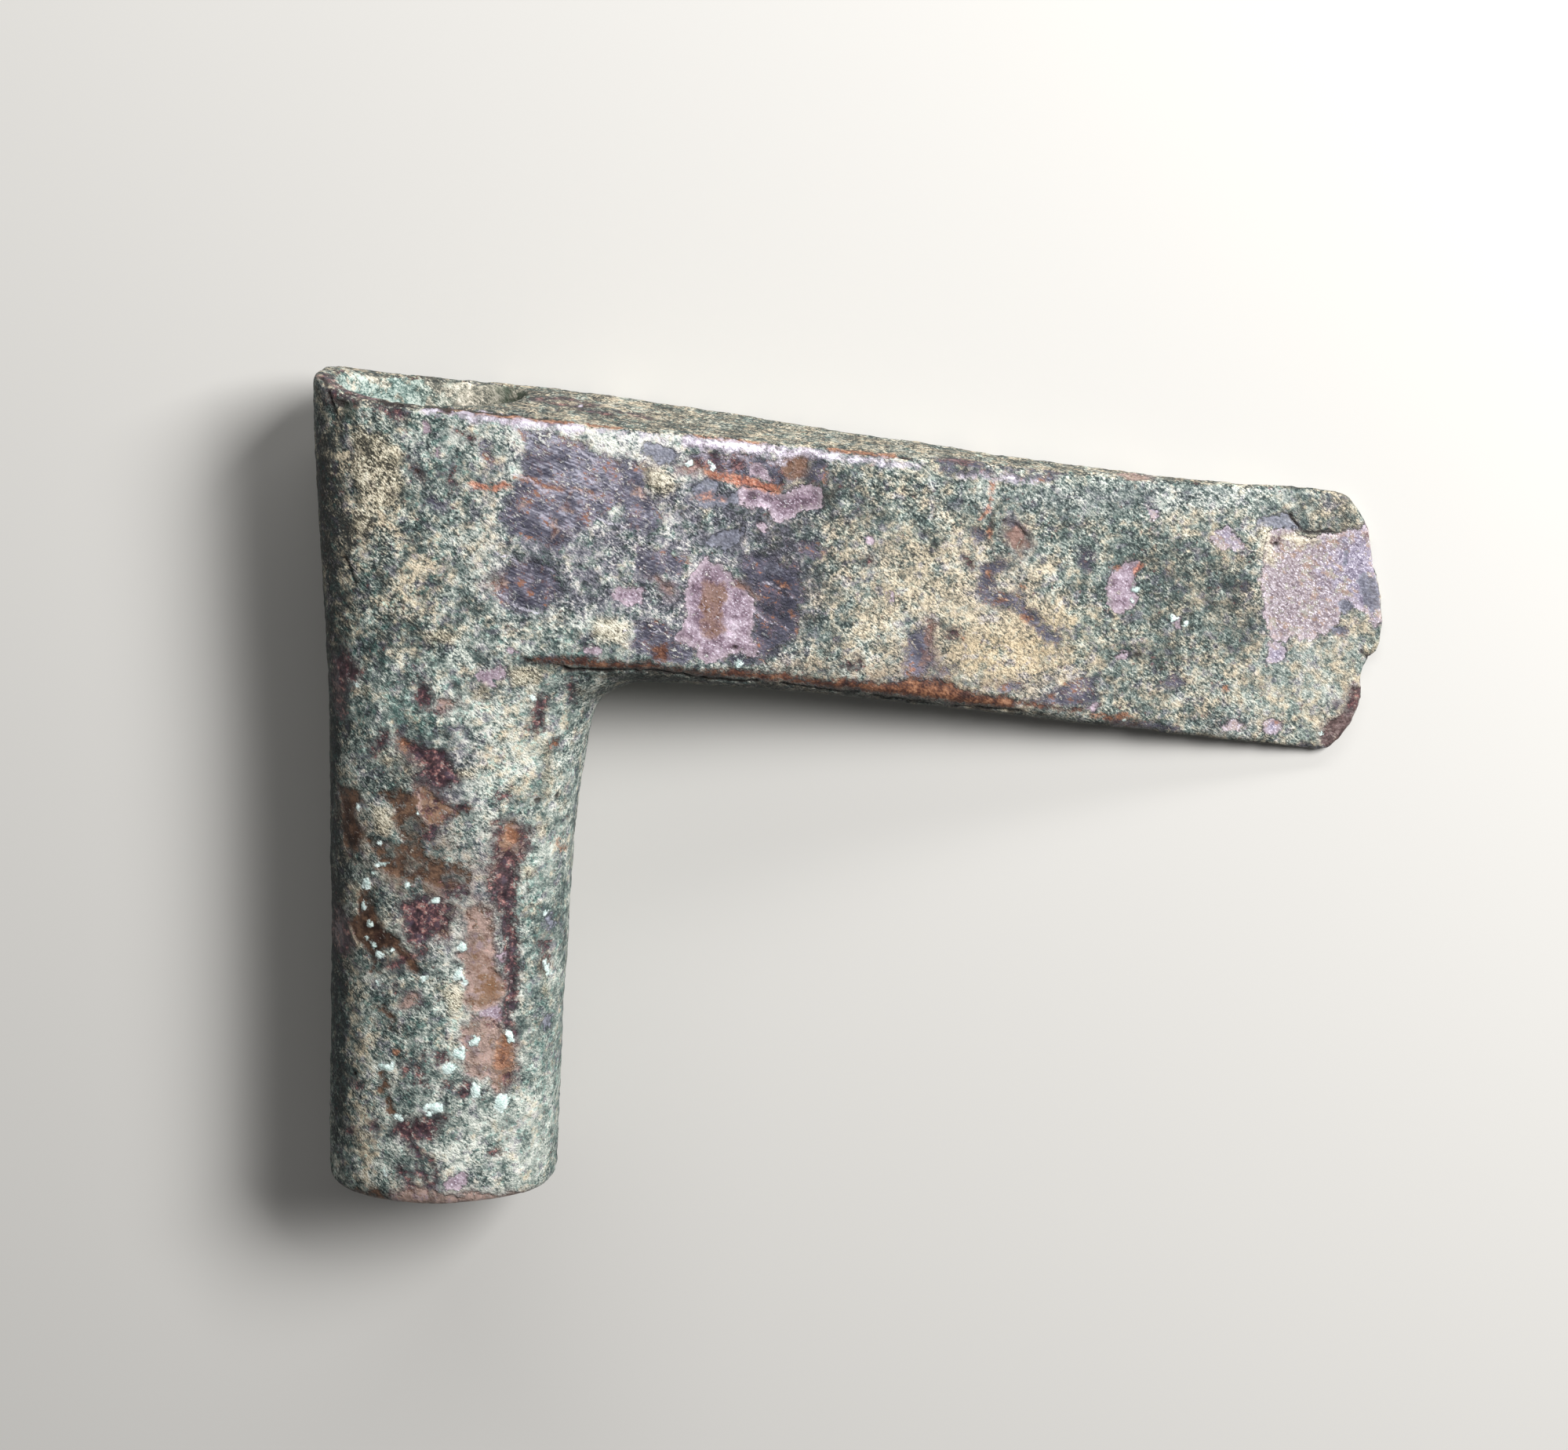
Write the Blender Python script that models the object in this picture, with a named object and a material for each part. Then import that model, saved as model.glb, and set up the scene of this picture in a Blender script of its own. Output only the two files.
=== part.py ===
"""Shaft-hole axe head: one bronze casting with a tall oval socket and a long, drooping, wedge-shaped blade.

The casting is modelled upright: X runs from the socket to the cutting edge, Z up the socket and -Y out
of the front face, with the origin on the socket's axis at its foot. At the end it is laid on its back
face, as it lies when nothing holds it, with the blade pointing along +X and the socket's mouth towards +Y.
"""

import math

import bmesh
import bpy
from mathutils import Matrix, Vector

MM = 0.001

# Socket: a tall oval tube. Its edges are (height, x) points seen from the front, in millimetres. Where it
# flares into the blade's keel, its sections bend up at the sides as the keel does.
SOCKET_BACK_EDGE = [(-4, -16.4), (0, -16.3), (35, -14.8), (75, -13.6), (105, -14.1), (124, -13.7)]
SOCKET_BLADE_EDGE = [(-4, 16.6), (0, 16.7), (35, 18.7), (55, 20.5), (66, 22.2), (70, 23.1)]
FLARE = [(72, 24.0), (73.4, 25.2), (74.3, 26.8), (74.9, 28.6), (75.4, 30.2), (76.5, 31.0), (124, 31.0)]
SOCKET_HALF_DEPTH = 12.15
SOCKET_FOOT_SQUARENESS = 2.1
SOCKET_MOUTH_SQUARENESS = 2.7
SQUARE_FROM_HEIGHT = 70
SOCKET_MIDDLE_REACH = 22.0
FLARE_LIFT = [(-4, 0), (64, 0), (74, 4.8), (77, 4.8), (100, 0), (124, 0)]
SOCKET_SIDES = 72
FOOT_ROUNDING = 1.3
RING_HEIGHTS = [-4, 0, 0.12, 0.4, 0.8, 1.3, 10, 20, 30, 40, 50, 60, 64, 67, 69.5, 71.4]
RING_HEIGHTS += [72.6, 73.4, 74.0, 74.4, 74.8, 75.2, 75.8, 76.5, 84, 92, 100, 108, 116, 124]

# Shaft hole: an oval core from below the foot to above the mouth. It is straight up to the blade, and in the
# mouth its blade side is worn towards the back into an egg shape.
HOLE_HALF_WIDTH = [(-8, 13.4), (92, 12.9), (128, 12.1)]
HOLE_CENTRE = [(-8, 0.1), (92, 1.3), (128, 1.7)]
HOLE_HALF_DEPTH_FRONT = [(-8, 9.4), (92, 9.4), (128, 9.4)]
HOLE_HALF_DEPTH_BACK = [(-8, 9.4), (92, 9.4), (128, 8.2)]
HOLE_SKEW = [(-8, 0), (92, 0), (112, 5.6), (128, 7.6)]
HOLE_HEIGHTS = [-8, 92, 100, 106, 112, 118, 128]
HOLE_SIDES = 56

# Blade: (x, half thickness) seen from above, and (x, height of the keel) seen from the front. The underside
# is a half oval that hangs below a crease at each side, by (x, depth).
BLADE_HALF_THICKNESS = [(2, 11.6), (8, 12.3), (19, 12.3), (33, 10.9), (42, 9.5), (52, 8.1)]
BLADE_HALF_THICKNESS += [(64, 6.5), (72, 5.5)]
BLADE_HALF_THICKNESS += [(86, 3.9), (98, 2.7), (115, 1.4), (130, 0.55), (138, 0.4)]
BLADE_KEEL = [(2, 75.5), (20, 75.4), (30, 75.1), (45, 74.2)]
BLADE_KEEL += [(63, 72.2), (89, 68.9), (107, 66.5), (138, 63.1)]
KEEL_DEPTH = [(2, 5.2), (30, 4.8), (50, 3.3), (73, 2.7), (98, 1.4), (115, 0.8), (130, 0.3), (138, 0.2)]
BLADE_STATIONS = [2, 5, 8, 13, 19, 26, 33, 42, 52, 64, 76, 88, 98, 107, 115, 122, 127, 131, 134, 138]
BLADE_TOP = 124
CREASE_ANGLE = math.radians(24)
KEEL_STEPS = 12

# Outline of the whole casting seen from the front: the mouth's rim and the blade's back, then the worn and
# chipped cutting edge. It runs clockwise from the poll, and below and behind it passes clear of the casting.
MOUTH_AND_BACK = [(-24, 118.5), (-13.4, 118.3), (-11.4, 117.8), (-8.5, 116.9), (-5, 116.3), (0, 115.7)]
MOUTH_AND_BACK += [(20, 113.6), (42, 110.8), (58, 108.7), (72, 106.9)]
MOUTH_AND_BACK += [(97, 104.0), (106, 103.0), (112, 102.6)]
MOUTH_AND_BACK += [(118, 102.6), (123, 102.0)]
CUTTING_EDGE = [(126.0, 101.6), (127.6, 100.7), (129.0, 98.8), (130.3, 96.6), (130.8, 94.0), (131.3, 91.4)]
CUTTING_EDGE += [(132.2, 88.9), (132.8, 86.0), (133.0, 83.2), (132.8, 80.6), (132.3, 79.0), (131.2, 77.9)]
CUTTING_EDGE += [(130.5, 76.7), (130.2, 74.9), (130.5, 72.9), (130.1, 70.7), (129.2, 68.4), (127.9, 66.3)]
CUTTING_EDGE += [(126.2, 64.9), (124.3, 64.2)]
OUTLINE_CLEAR = [(124.3, 58), (60, 58), (60, 0), (-24, 0)]
OUTLINE_DEPTH = 40

# The resting pose: the blade's root and the lower tip touch the ground. Each has a small worn flat there.
FLAT_DEPTH = 0.15

BRONZE = (0.29, 0.33, 0.27, 1.0)
BRONZE_ROUGHNESS = 0.62
BRONZE_METALLIC = 0.25


def smooth_through(points):
    """A function that runs through (position, value) points with no overshoot: a monotone cubic."""
    at = [p[0] for p in points]
    value = [p[1] for p in points]
    step = [b - a for a, b in zip(at, at[1:])]
    slope = [(b - a) / h for a, b, h in zip(value, value[1:], step)]
    tangent = [slope[0]]
    for before, after in zip(slope, slope[1:]):
        flat = before * after <= 0
        tangent.append(0.0 if flat else 2 * before * after / (before + after))
    tangent.append(slope[-1])

    def curve(t):
        k = 0
        while k < len(step) - 1 and t > at[k + 1]:
            k += 1
        s = (t - at[k]) / step[k]
        lead = (1 + 2 * s) * (1 - s) ** 2 * value[k] + s * s * (3 - 2 * s) * value[k + 1]
        turn = s * (1 - s) ** 2 * tangent[k] - s * s * (1 - s) * tangent[k + 1]
        return lead + turn * step[k]

    return curve


def superellipse(angle, half_width, half_depth, squareness):
    c, s = math.cos(angle), math.sin(angle)
    power = 2 / squareness
    x = math.copysign(abs(c) ** power, c) * half_width
    y = math.copysign(abs(s) ** power, s) * half_depth
    return x, y


def loft(name, rings):
    """A closed solid through rings of equal counts of points, in millimetres, with flat ends."""
    bm = bmesh.new()
    rows = [[bm.verts.new(Vector(p) * MM) for p in ring] for ring in rings]
    count = len(rows[0])
    for low, high in zip(rows, rows[1:]):
        for k in range(count):
            bm.faces.new((low[k], low[(k + 1) % count], high[(k + 1) % count], high[k]))
    bm.faces.new(list(reversed(rows[0])))
    bm.faces.new(rows[-1])
    bmesh.ops.recalc_face_normals(bm, faces=bm.faces)
    mesh = bpy.data.meshes.new(name)
    bm.to_mesh(mesh)
    bm.free()
    return bpy.data.objects.new(name, mesh)


def socket_ring(height, back_edge, blade_edge, lift_at):
    """One oval section of the socket, whose blade side may reach further than its back."""
    back = back_edge(height)
    centre = (back + min(blade_edge(height), SOCKET_MIDDLE_REACH)) / 2
    share = min(max(height / SQUARE_FROM_HEIGHT, 0), 1)
    squareness = SOCKET_FOOT_SQUARENESS + (SOCKET_MOUTH_SQUARENESS - SOCKET_FOOT_SQUARENESS) * share
    below = max(FOOT_ROUNDING - max(height, 0), 0)
    inset = FOOT_ROUNDING - math.sqrt(FOOT_ROUNDING**2 - below**2)
    ring = []
    for k in range(SOCKET_SIDES):
        angle = 2 * math.pi * k / SOCKET_SIDES
        reach = blade_edge(height) - centre if math.cos(angle) > 0 else centre - back
        x, y = superellipse(angle, reach - inset, SOCKET_HALF_DEPTH - inset, squareness)
        sideways = 1 - math.sqrt(max(1 - (y / SOCKET_HALF_DEPTH) ** 2, 0))
        towards_blade = (1 + math.cos(angle)) / 2
        ring.append((centre + x, y, height + lift_at(height) * sideways * towards_blade))
    return ring


def make_socket():
    back_edge = smooth_through(SOCKET_BACK_EDGE)
    blade_edge = smooth_through(SOCKET_BLADE_EDGE + FLARE)
    lift_at = smooth_through(FLARE_LIFT)
    return loft("socket", [socket_ring(h, back_edge, blade_edge, lift_at) for h in RING_HEIGHTS])


def blade_ring(x, half, keel, depth):
    """One upright section of the blade: flat sides over a half-oval underside that starts at a crease."""
    ring = [(x, -half, BLADE_TOP), (x, half, BLADE_TOP)]
    for k in range(2 * KEEL_STEPS + 1):
        turn = CREASE_ANGLE + (math.pi - 2 * CREASE_ANGLE) * k / (2 * KEEL_STEPS)
        y = half * math.cos(turn) / math.cos(CREASE_ANGLE)
        drop = (math.sin(turn) - math.sin(CREASE_ANGLE)) / (1 - math.sin(CREASE_ANGLE))
        ring.append((x, y, keel + depth * (1 - drop)))
    return ring


def make_blade():
    half = smooth_through(BLADE_HALF_THICKNESS)
    keel = smooth_through(BLADE_KEEL)
    depth = smooth_through(KEEL_DEPTH)
    return loft("blade", [blade_ring(x, half(x), keel(x), depth(x)) for x in BLADE_STATIONS])


def make_outline():
    """The casting's front outline as a plate that is deeper than the casting is thick."""
    points = MOUTH_AND_BACK + CUTTING_EDGE + OUTLINE_CLEAR
    curve = bpy.data.curves.new("outline", "CURVE")
    curve.dimensions = "2D"
    curve.fill_mode = "BOTH"
    curve.extrude = OUTLINE_DEPTH / 2 * MM
    spline = curve.splines.new("POLY")
    spline.points.add(len(points) - 1)
    for place, (x, z) in zip(spline.points, points):
        place.co = (x * MM, z * MM, 0, 1)
    spline.use_cyclic_u = True
    drawn = bpy.data.objects.new("outline_curve", curve)
    drawn.rotation_euler = (math.pi / 2, 0, 0)
    bpy.context.scene.collection.objects.link(drawn)
    return mesh_from_curve(drawn, "outline")


def mesh_from_curve(drawn, name):
    bpy.context.view_layer.update()
    graph = bpy.context.evaluated_depsgraph_get()
    mesh = bpy.data.meshes.new_from_object(drawn.evaluated_get(graph))
    bm = bmesh.new()
    bm.from_mesh(mesh)
    bmesh.ops.remove_doubles(bm, verts=bm.verts, dist=0.00001)
    bmesh.ops.recalc_face_normals(bm, faces=bm.faces)
    bm.to_mesh(mesh)
    bm.free()
    solid = bpy.data.objects.new(name, mesh)
    solid.matrix_world = drawn.matrix_world.copy()
    bpy.data.objects.remove(drawn)
    return solid


def make_core():
    """The clay core that left the shaft hole: a long oval plug, egg-shaped at its upper end, the mouth."""
    profiles = [HOLE_HALF_WIDTH, HOLE_CENTRE, HOLE_HALF_DEPTH_FRONT, HOLE_HALF_DEPTH_BACK, HOLE_SKEW]
    curves = [smooth_through(points) for points in profiles]
    rings = []
    for height in HOLE_HEIGHTS:
        half_width, centre, front, back, skew = [curve(height) for curve in curves]
        ring = []
        for k in range(HOLE_SIDES):
            angle = 2 * math.pi * k / HOLE_SIDES
            half_depth = back if math.sin(angle) > 0 else front
            towards_blade = (1 + math.cos(angle)) / 2
            y = half_depth * math.sin(angle) + skew * towards_blade**3
            ring.append((centre + half_width * math.cos(angle), y, height))
        rings.append(ring)
    return loft("core", rings)


def combine(solid, other, operation):
    """Applies one exact Boolean to the solid and keeps the result as its own mesh."""
    cut = solid.modifiers.new(operation.lower(), "BOOLEAN")
    cut.operation = operation
    cut.object = other
    bpy.context.view_layer.update()
    graph = bpy.context.evaluated_depsgraph_get()
    mesh = bpy.data.meshes.new_from_object(solid.evaluated_get(graph))
    solid.modifiers.clear()
    solid.data = mesh


def lying_tilt():
    """The angle that brings the blade's back face down until its root and its tip both touch the ground."""
    half = smooth_through(BLADE_HALF_THICKNESS)
    tip = max(x for x, z in CUTTING_EDGE)
    return max(math.atan2(half(x) - half(tip), tip - x) for x in BLADE_STATIONS if x < tip - 10)


def lay_down(solid):
    """Turns the front face up, tilts the tip down to the ground and wears the two small flats there."""
    turn = Matrix.Rotation(lying_tilt(), 4, "Y") @ Matrix.Rotation(-math.pi / 2, 4, "X")
    solid.data.transform(turn)
    ground = min(v.co.z for v in solid.data.vertices) + FLAT_DEPTH * MM
    bm = bmesh.new()
    bm.from_mesh(solid.data)
    everything = bm.verts[:] + bm.edges[:] + bm.faces[:]
    worn = bmesh.ops.bisect_plane(
        bm, geom=everything, plane_co=(0, 0, ground), plane_no=(0, 0, -1), clear_outer=True
    )
    rim = [e for e in worn["geom_cut"] if isinstance(e, bmesh.types.BMEdge)]
    bmesh.ops.holes_fill(bm, edges=rim)
    bmesh.ops.recalc_face_normals(bm, faces=bm.faces)
    bm.to_mesh(solid.data)
    bm.free()
    corners = [v.co for v in solid.data.vertices]
    middle_x = (min(c.x for c in corners) + max(c.x for c in corners)) / 2
    middle_y = (min(c.y for c in corners) + max(c.y for c in corners)) / 2
    solid.data.transform(Matrix.Translation((-middle_x, -middle_y, -ground)))


def patinated_bronze():
    material = bpy.data.materials.new("patinated_bronze")
    material.use_nodes = True
    shader = material.node_tree.nodes["Principled BSDF"]
    shader.inputs["Base Color"].default_value = BRONZE
    shader.inputs["Roughness"].default_value = BRONZE_ROUGHNESS
    shader.inputs["Metallic"].default_value = BRONZE_METALLIC
    return material


def main():
    for obj in list(bpy.data.objects):
        bpy.data.objects.remove(obj)
    parts = bpy.data.collections.new("axe")
    cutters = bpy.data.collections.new("cutters")
    for collection in (parts, cutters):
        bpy.context.scene.collection.children.link(collection)

    axe_head = make_socket()
    axe_head.name = "axe_head"
    parts.objects.link(axe_head)
    steps = [(make_blade(), "UNION"), (make_outline(), "INTERSECT"), (make_core(), "DIFFERENCE")]
    for other, operation in steps:
        cutters.objects.link(other)
        other.hide_render = True
        other.display_type = "WIRE"
        combine(axe_head, other, operation)

    lay_down(axe_head)
    axe_head.data.materials.clear()
    axe_head.data.materials.append(patinated_bronze())
    axe_head.data.shade_smooth()
    axe_head.data.set_sharp_from_angle(angle=math.radians(30))


main()
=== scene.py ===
"""The looks of a cast bronze shaft-hole axe head that lies on its back face, seen from above.

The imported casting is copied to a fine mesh, its edges are worn round, and its surface gets the relief and
the colours of a mottled patina: a grey-green crust with cream grains, and places where the crust is gone and
dark metal, lilac flakes, copper-brown plates and wine-red pits show. The places are drawn as outlines in
millimetres. Every vertex gets its distances to their edges, which shape the relief and are stored on the
mesh for the material to read.
"""

import math

import bpy
import numpy as np
from mathutils import Matrix, Vector


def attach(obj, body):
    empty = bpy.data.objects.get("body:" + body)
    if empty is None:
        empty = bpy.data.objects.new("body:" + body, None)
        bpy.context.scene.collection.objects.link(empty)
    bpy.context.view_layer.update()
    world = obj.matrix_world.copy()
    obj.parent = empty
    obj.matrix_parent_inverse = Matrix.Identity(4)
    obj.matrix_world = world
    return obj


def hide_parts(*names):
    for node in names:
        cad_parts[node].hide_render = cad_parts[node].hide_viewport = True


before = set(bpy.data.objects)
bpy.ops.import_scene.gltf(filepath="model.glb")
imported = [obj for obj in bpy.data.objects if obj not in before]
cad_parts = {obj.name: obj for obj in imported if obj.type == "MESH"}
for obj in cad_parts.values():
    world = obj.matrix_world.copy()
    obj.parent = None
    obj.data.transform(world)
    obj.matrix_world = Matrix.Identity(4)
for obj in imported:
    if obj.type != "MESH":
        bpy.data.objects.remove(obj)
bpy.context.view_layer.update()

MM = 0.001
NODE = "axe_head"

# Outlines use the upright frame, in millimetres: x from the socket's axis towards the cutting edge, z up the
# socket from its foot, and -y out of the front face. Lying, the head is turned front face up and tilted
# until the blade's root and its cutting edge both touch the ground.
TILT = math.radians(6.0446)
BOX_MIDDLE = np.array([59.183, 8.146, 59.154])

# The socket in the upright frame: the x of its middle at its foot and from the blade up, how far its bore
# reaches from there in x and y, and how high it goes.
SOCKET_MIDDLE = (0.1, 1.3)
BLADE_HEIGHT = 92
BORE_REACH = (15.5, 11.2)
MOUTH_RIM = 117.5

# The fine mesh: the size of its voxels in millimetres, how many passes wear its edges round, the x where
# they start to wear less and the x where they wear least, its number of triangles, and how strongly the
# faces that the photo doesn't show are thinned out first, in so many levels.
VOXEL = 0.36
WEAR_PASSES = 22
WEAR_FADES = (118, 128)
TRIANGLES = 192000
THINNING = 0.00002
SPARE_LEVELS = 4

# Relief, in millimetres. Bare places lie a little lower than the crust and keep only a share of its grains.
SWELL = 0.16
LUMPS = 0.09
GRAINS = 0.112
SMOOTH_SHARE = 0.25
BARE_DEPTHS = {
    "steel": 0.07, "bluish": 0.1, "lilac": 0.1, "copper": 0.11, "ridge": 0.05, "polish_and_highlight": 0.0, "brown": 0.11,
}
WINE_DEPTH = 0.2
RUST_DEPTH = 0.06
PIT_DEPTH = 0.35
GROOVE_DEPTH = 0.35
PEARL_HEIGHT = 0.28
CREAM_HEIGHT = 0.1

# How far outside its edge an outline's distance is worked out, in millimetres.
EDGE_REACH = 2.0


# ---------------------------------------------------------------- outlines

def areas(*outlines):
    """Closed outlines, each of points x, z, x, z and so on."""
    return [("area", np.array(outline, float).reshape(-1, 2), 0.0) for outline in outlines]


def oval(x, z, half_width, half_height=None, turn=0.0):
    """An oval round the point x, z, turned anticlockwise by so many degrees."""
    return "oval", np.array([(x, z), (half_width, half_height or half_width)], float), math.radians(turn)


def spots(*ovals):
    """Ovals of x, z, half width, then half height if it differs, then degrees turned anticlockwise."""
    return [oval(*values) for values in ovals]


def streaks(*lines):
    """Lines, each of a width and then points x, z, x, z and so on."""
    return [("line", np.array(line[1:], float).reshape(-1, 2), line[0]) for line in lines]


# Bare dark metal.
STEEL = areas(
    (14.5, 112.6, 21, 111.6, 27, 108.6, 32, 107, 31, 103.2, 26, 101, 21.6, 98.6, 19.6, 95.6, 17, 97,
     13.4, 98.2, 11.6, 100.6, 12.6, 103, 15, 106.4, 15.2, 109),
    (13.2, 95, 16.5, 94.6, 19.4, 93.8, 20, 91, 17.4, 88, 13, 87.6, 10.6, 89.6, 11.4, 92),
    (28, 105, 31, 104, 33.5, 101, 33, 98, 29, 98.4, 28, 101),
    (30, 96.5, 34, 96, 37, 94.6, 36, 92.6, 32, 92, 29.6, 93.6),
    (2, 102.4, 2.6, 104, 3.4, 103.2, 5, 102.8, 4.8, 102, 3, 101.9),
    (47.8, 107.8, 49.5, 107.2, 50.2, 105.4, 49.8, 103.4, 48.9, 104.2, 47.9, 105.2),
    (44, 95, 48, 94.4, 51.5, 93, 52.5, 90, 52, 86.5, 51.5, 83.5, 49, 81, 46, 80.4, 44.5, 81.3, 45.6, 84,
     45.8, 88, 45.3, 90.3, 43.5, 92),
    (29.5, 86.2, 33, 86, 35, 84.5, 34.6, 83, 37, 83, 38, 80.5, 36, 79.5, 32, 80.5, 29, 82.5),
    (40.5, 80, 43, 81, 46.5, 80.6, 47.5, 79.6, 43, 79.2),
    (51.5, 96.6, 54, 96.8, 55.4, 95, 54.6, 93.6, 52.4, 94.2),
    (66.5, 83.3, 68.5, 84, 69.8, 83, 70.2, 80, 69.8, 78, 68, 76.5, 66.3, 77.3, 66.2, 80),
    (83.5, 72.4, 86, 73, 88, 74.7, 90, 75.6, 93.2, 76.3, 92.6, 74, 93, 72.5, 90, 71.5),
    (122.3, 66, 124.5, 65.8, 126.5, 65.3, 125, 64, 121, 64.2),
    (37, 108.6, 38.6, 109.2, 42, 108.8, 46, 108.4, 49, 107.6, 50, 105.6, 49.4, 104.4, 47, 104.8, 44, 105.6,
     41, 106.4, 38.4, 107.2),
    (52.4, 108.2, 54.6, 107.9, 55.8, 106.4, 55.6, 104.6, 53.6, 104.4, 52.6, 104.8, 53.6, 106.4),
) + spots(
    (10.2, 109.2, 0.9, 1.8, 15), (44.2, 107, 1.8, 1), (91.2, 92.6, 1.1, 1.6), (81, 74.8, 1.4, 0.9),
    (72.3, 77.5, 1, 0.6), (76.2, 96.6, 1, 1.2), (104, 75, 1.6, 1), (80.6, 98, 1.1, 0.5, -40),
    (113, 88.6, 0.9, 0.5), (128, 85.7, 0.8, 0.9), (127.2, 82.1, 0.9, 0.6), (126.7, 93.9, 0.4, 0.8),
    (126.8, 71.1, 0.5, 0.4), (5, 71.4, 1.1, 0.6), (102.6, 90.4, 0.7, 1),
) + streaks(
    (1.9, 79.4, 92.2, 77.7, 91.4, 77.1, 89.2, 78.1, 87.6, 80.2, 87, 81.6, 87.6),
    (1.8, 82.2, 86.8, 83.8, 85, 85.2, 83.2, 87, 81.4), (1.1, 71.6, 106, 74.6, 105.6, 77.4, 105.1),
    (1, 80.4, 104.6, 86.4, 103.9), (1.2, 96, 69, 104, 68.2),
)

# Blue-grey plates.
BLUISH = areas(
    (37.4, 104, 38.5, 105.3, 40, 105.9, 41, 104.7, 40.5, 103.5, 42, 103.2, 43.6, 103.5, 43.8, 102.2,
     42.3, 101.6, 41, 101.3, 39.2, 101.4, 38, 102.4),
    (38.7, 97.3, 40.4, 98.1, 42, 98.3, 44.8, 98.8, 44.5, 97.3, 43.2, 96.1, 41.8, 94.9, 40.2, 96.1),
    (114.5, 97.8, 115.8, 98.3, 117.6, 98.5, 119.3, 98.6, 119.9, 97.8, 120.4, 96.4, 119.4, 96.2, 117.8, 96.8,
     115.9, 96.9, 114.7, 96),
    (-11.4, 80, -10.4, 80.8, -9.5, 79.8, -9.4, 78.2, -10, 77.4, -11, 77.8),
    (31.4, 111, 35, 110, 36, 108.4, 33, 107.6, 30.6, 109),
    (46.6, 93.4, 49, 93.8, 50.4, 92.4, 49, 91.6, 46.8, 92),
    (129.2, 90.2, 131.4, 89.8, 132.6, 87.6, 132.4, 85.4, 131.4, 84.4, 130, 85.6, 129.4, 87.6),
) + spots(
    (127.6, 85.6, 0.9, 1), (131.2, 93.4, 0.4, 0.6), (126.8, 82.2, 0.9, 0.5), (16.1, 26.4, 0.6, 1.1),
    (16.9, 41.4, 0.5, 1.4),
) + streaks((0.5, 126.9, 94.6, 127.6, 93, 127.4, 91.6))

# Lilac flakes.
LILAC = areas(
    (39.1, 94.8, 40, 93.9, 41, 93.9, 42, 92.6, 43.2, 91.3, 44.5, 90.3, 45.6, 88.5, 45.8, 86.5, 45.6, 84.2,
     45.8, 82.3, 46.7, 80.8, 44.3, 80.7, 42.2, 80.8, 41.2, 80, 40, 79.6, 38.6, 79.9, 37.9, 80.7, 37.5, 81.9,
     36.6, 83, 35.2, 82.7, 34.7, 83.8, 35.8, 85.2, 36.2, 87.5, 36.1, 90, 36.9, 91.8, 38, 92.7, 38.4, 94.1),
    (43.5, 103.5, 44.5, 104.2, 47, 103.9, 48.8, 103.4, 50, 102.9, 51.5, 103.9, 53.4, 104.3, 54.6, 103.8,
     55.1, 102.5, 54.8, 101.3, 53.5, 100.5, 52.2, 100.3, 50.8, 99.4, 49.2, 99.2, 48, 99.9, 47.3, 101,
     45.6, 101.1, 44.2, 101.7, 43.7, 102.6),
    (45, 107.3, 46.5, 107.7, 47.6, 106.4, 48, 104.8, 46.6, 105, 45.3, 105.6, 44.9, 106.5),
    (26.5, 91.3, 29, 91, 31, 90.5, 30.6, 88.5, 28.5, 88, 26.5, 89.3),
    (96, 92, 97.5, 92.4, 98.8, 92.1, 98.9, 91.2, 98.2, 90.4, 98.5, 88.5, 98.6, 86, 97.6, 85.3, 96.6, 84.7,
     95.3, 85, 94.5, 86.3, 94.2, 88.3, 94.3, 90.2, 95, 91.3),
    (99.5, 99.7, 100.6, 99.9, 101.6, 99.2, 101, 98.1, 100.3, 97.5, 99.8, 98.4),
    (108.6, 96.3, 110.2, 96.9, 110.6, 97.8, 111.2, 96.4, 111.6, 95.3, 113.4, 94.2, 112.5, 93.3, 111.3, 94,
     110, 93.9, 109, 94.6),
    (117, 80.6, 118.5, 80.8, 119.7, 79.6, 119.5, 78, 118.3, 77.1, 117.2, 77.4, 116.8, 79),
    (115.8, 96.2, 117.5, 96.8, 119.7, 96.6, 120.5, 95.5, 122, 95.3, 124.5, 95.6, 126.5, 96, 127.5, 96.5,
     129, 96.4, 129.8, 97.3, 130.9, 95, 131.6, 92, 132.2, 90, 133, 87, 133.4, 84, 131.8, 82.3, 130.8, 83.5,
     129.3, 85, 128.2, 86.5, 127.2, 86.5, 127, 84.5, 126.8, 83, 125.5, 81.5, 123.5, 80.9, 121.3, 80.5,
     120.8, 81.2, 119.5, 80.6, 117.8, 80.9, 116.9, 82, 116.1, 84, 116, 87, 115.3, 89.3, 116, 90.3,
     115.9, 92.5, 115.6, 94.5),
    (8, 79, 9.3, 79.5, 11, 80.4, 12.2, 80.1, 11.4, 78.6, 10.4, 78, 10.8, 77, 9.6, 76.7, 8.6, 77.4),
    (1, 3.6, 2.5, 4.8, 4.2, 5.6, 5.5, 4.6, 4.5, 3.4, 3, 2.6, 1.5, 2.9),
    (8.2, 31, 9.8, 30.8, 10.6, 29, 10, 27.4, 8.6, 27.6, 7, 28.8, 6.6, 29.8),
) + spots(
    (46.9, 98.4, 0.8, 0.6), (96.8, 79.2, 1, 0.6), (104, 83.4, 0.6, 0.9), (118, 68.3, 1.4, 1.2),
    (112.6, 68.6, 1.5, 0.8), (92.7, 71.5, 0.9, 0.6), (23.8, 82.3, 1.1, 0.9), (12.8, 82.3, 0.7, 0.5),
    (10.7, 37.5, 0.9, 0.9), (2.4, 113, 0.6, 0.9), (3.9, 109.2, 0.4, 0.7), (61.5, 96.3, 0.7, 0.6),
    (64.3, 88.2, 0.6, 0.8),
)

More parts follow.
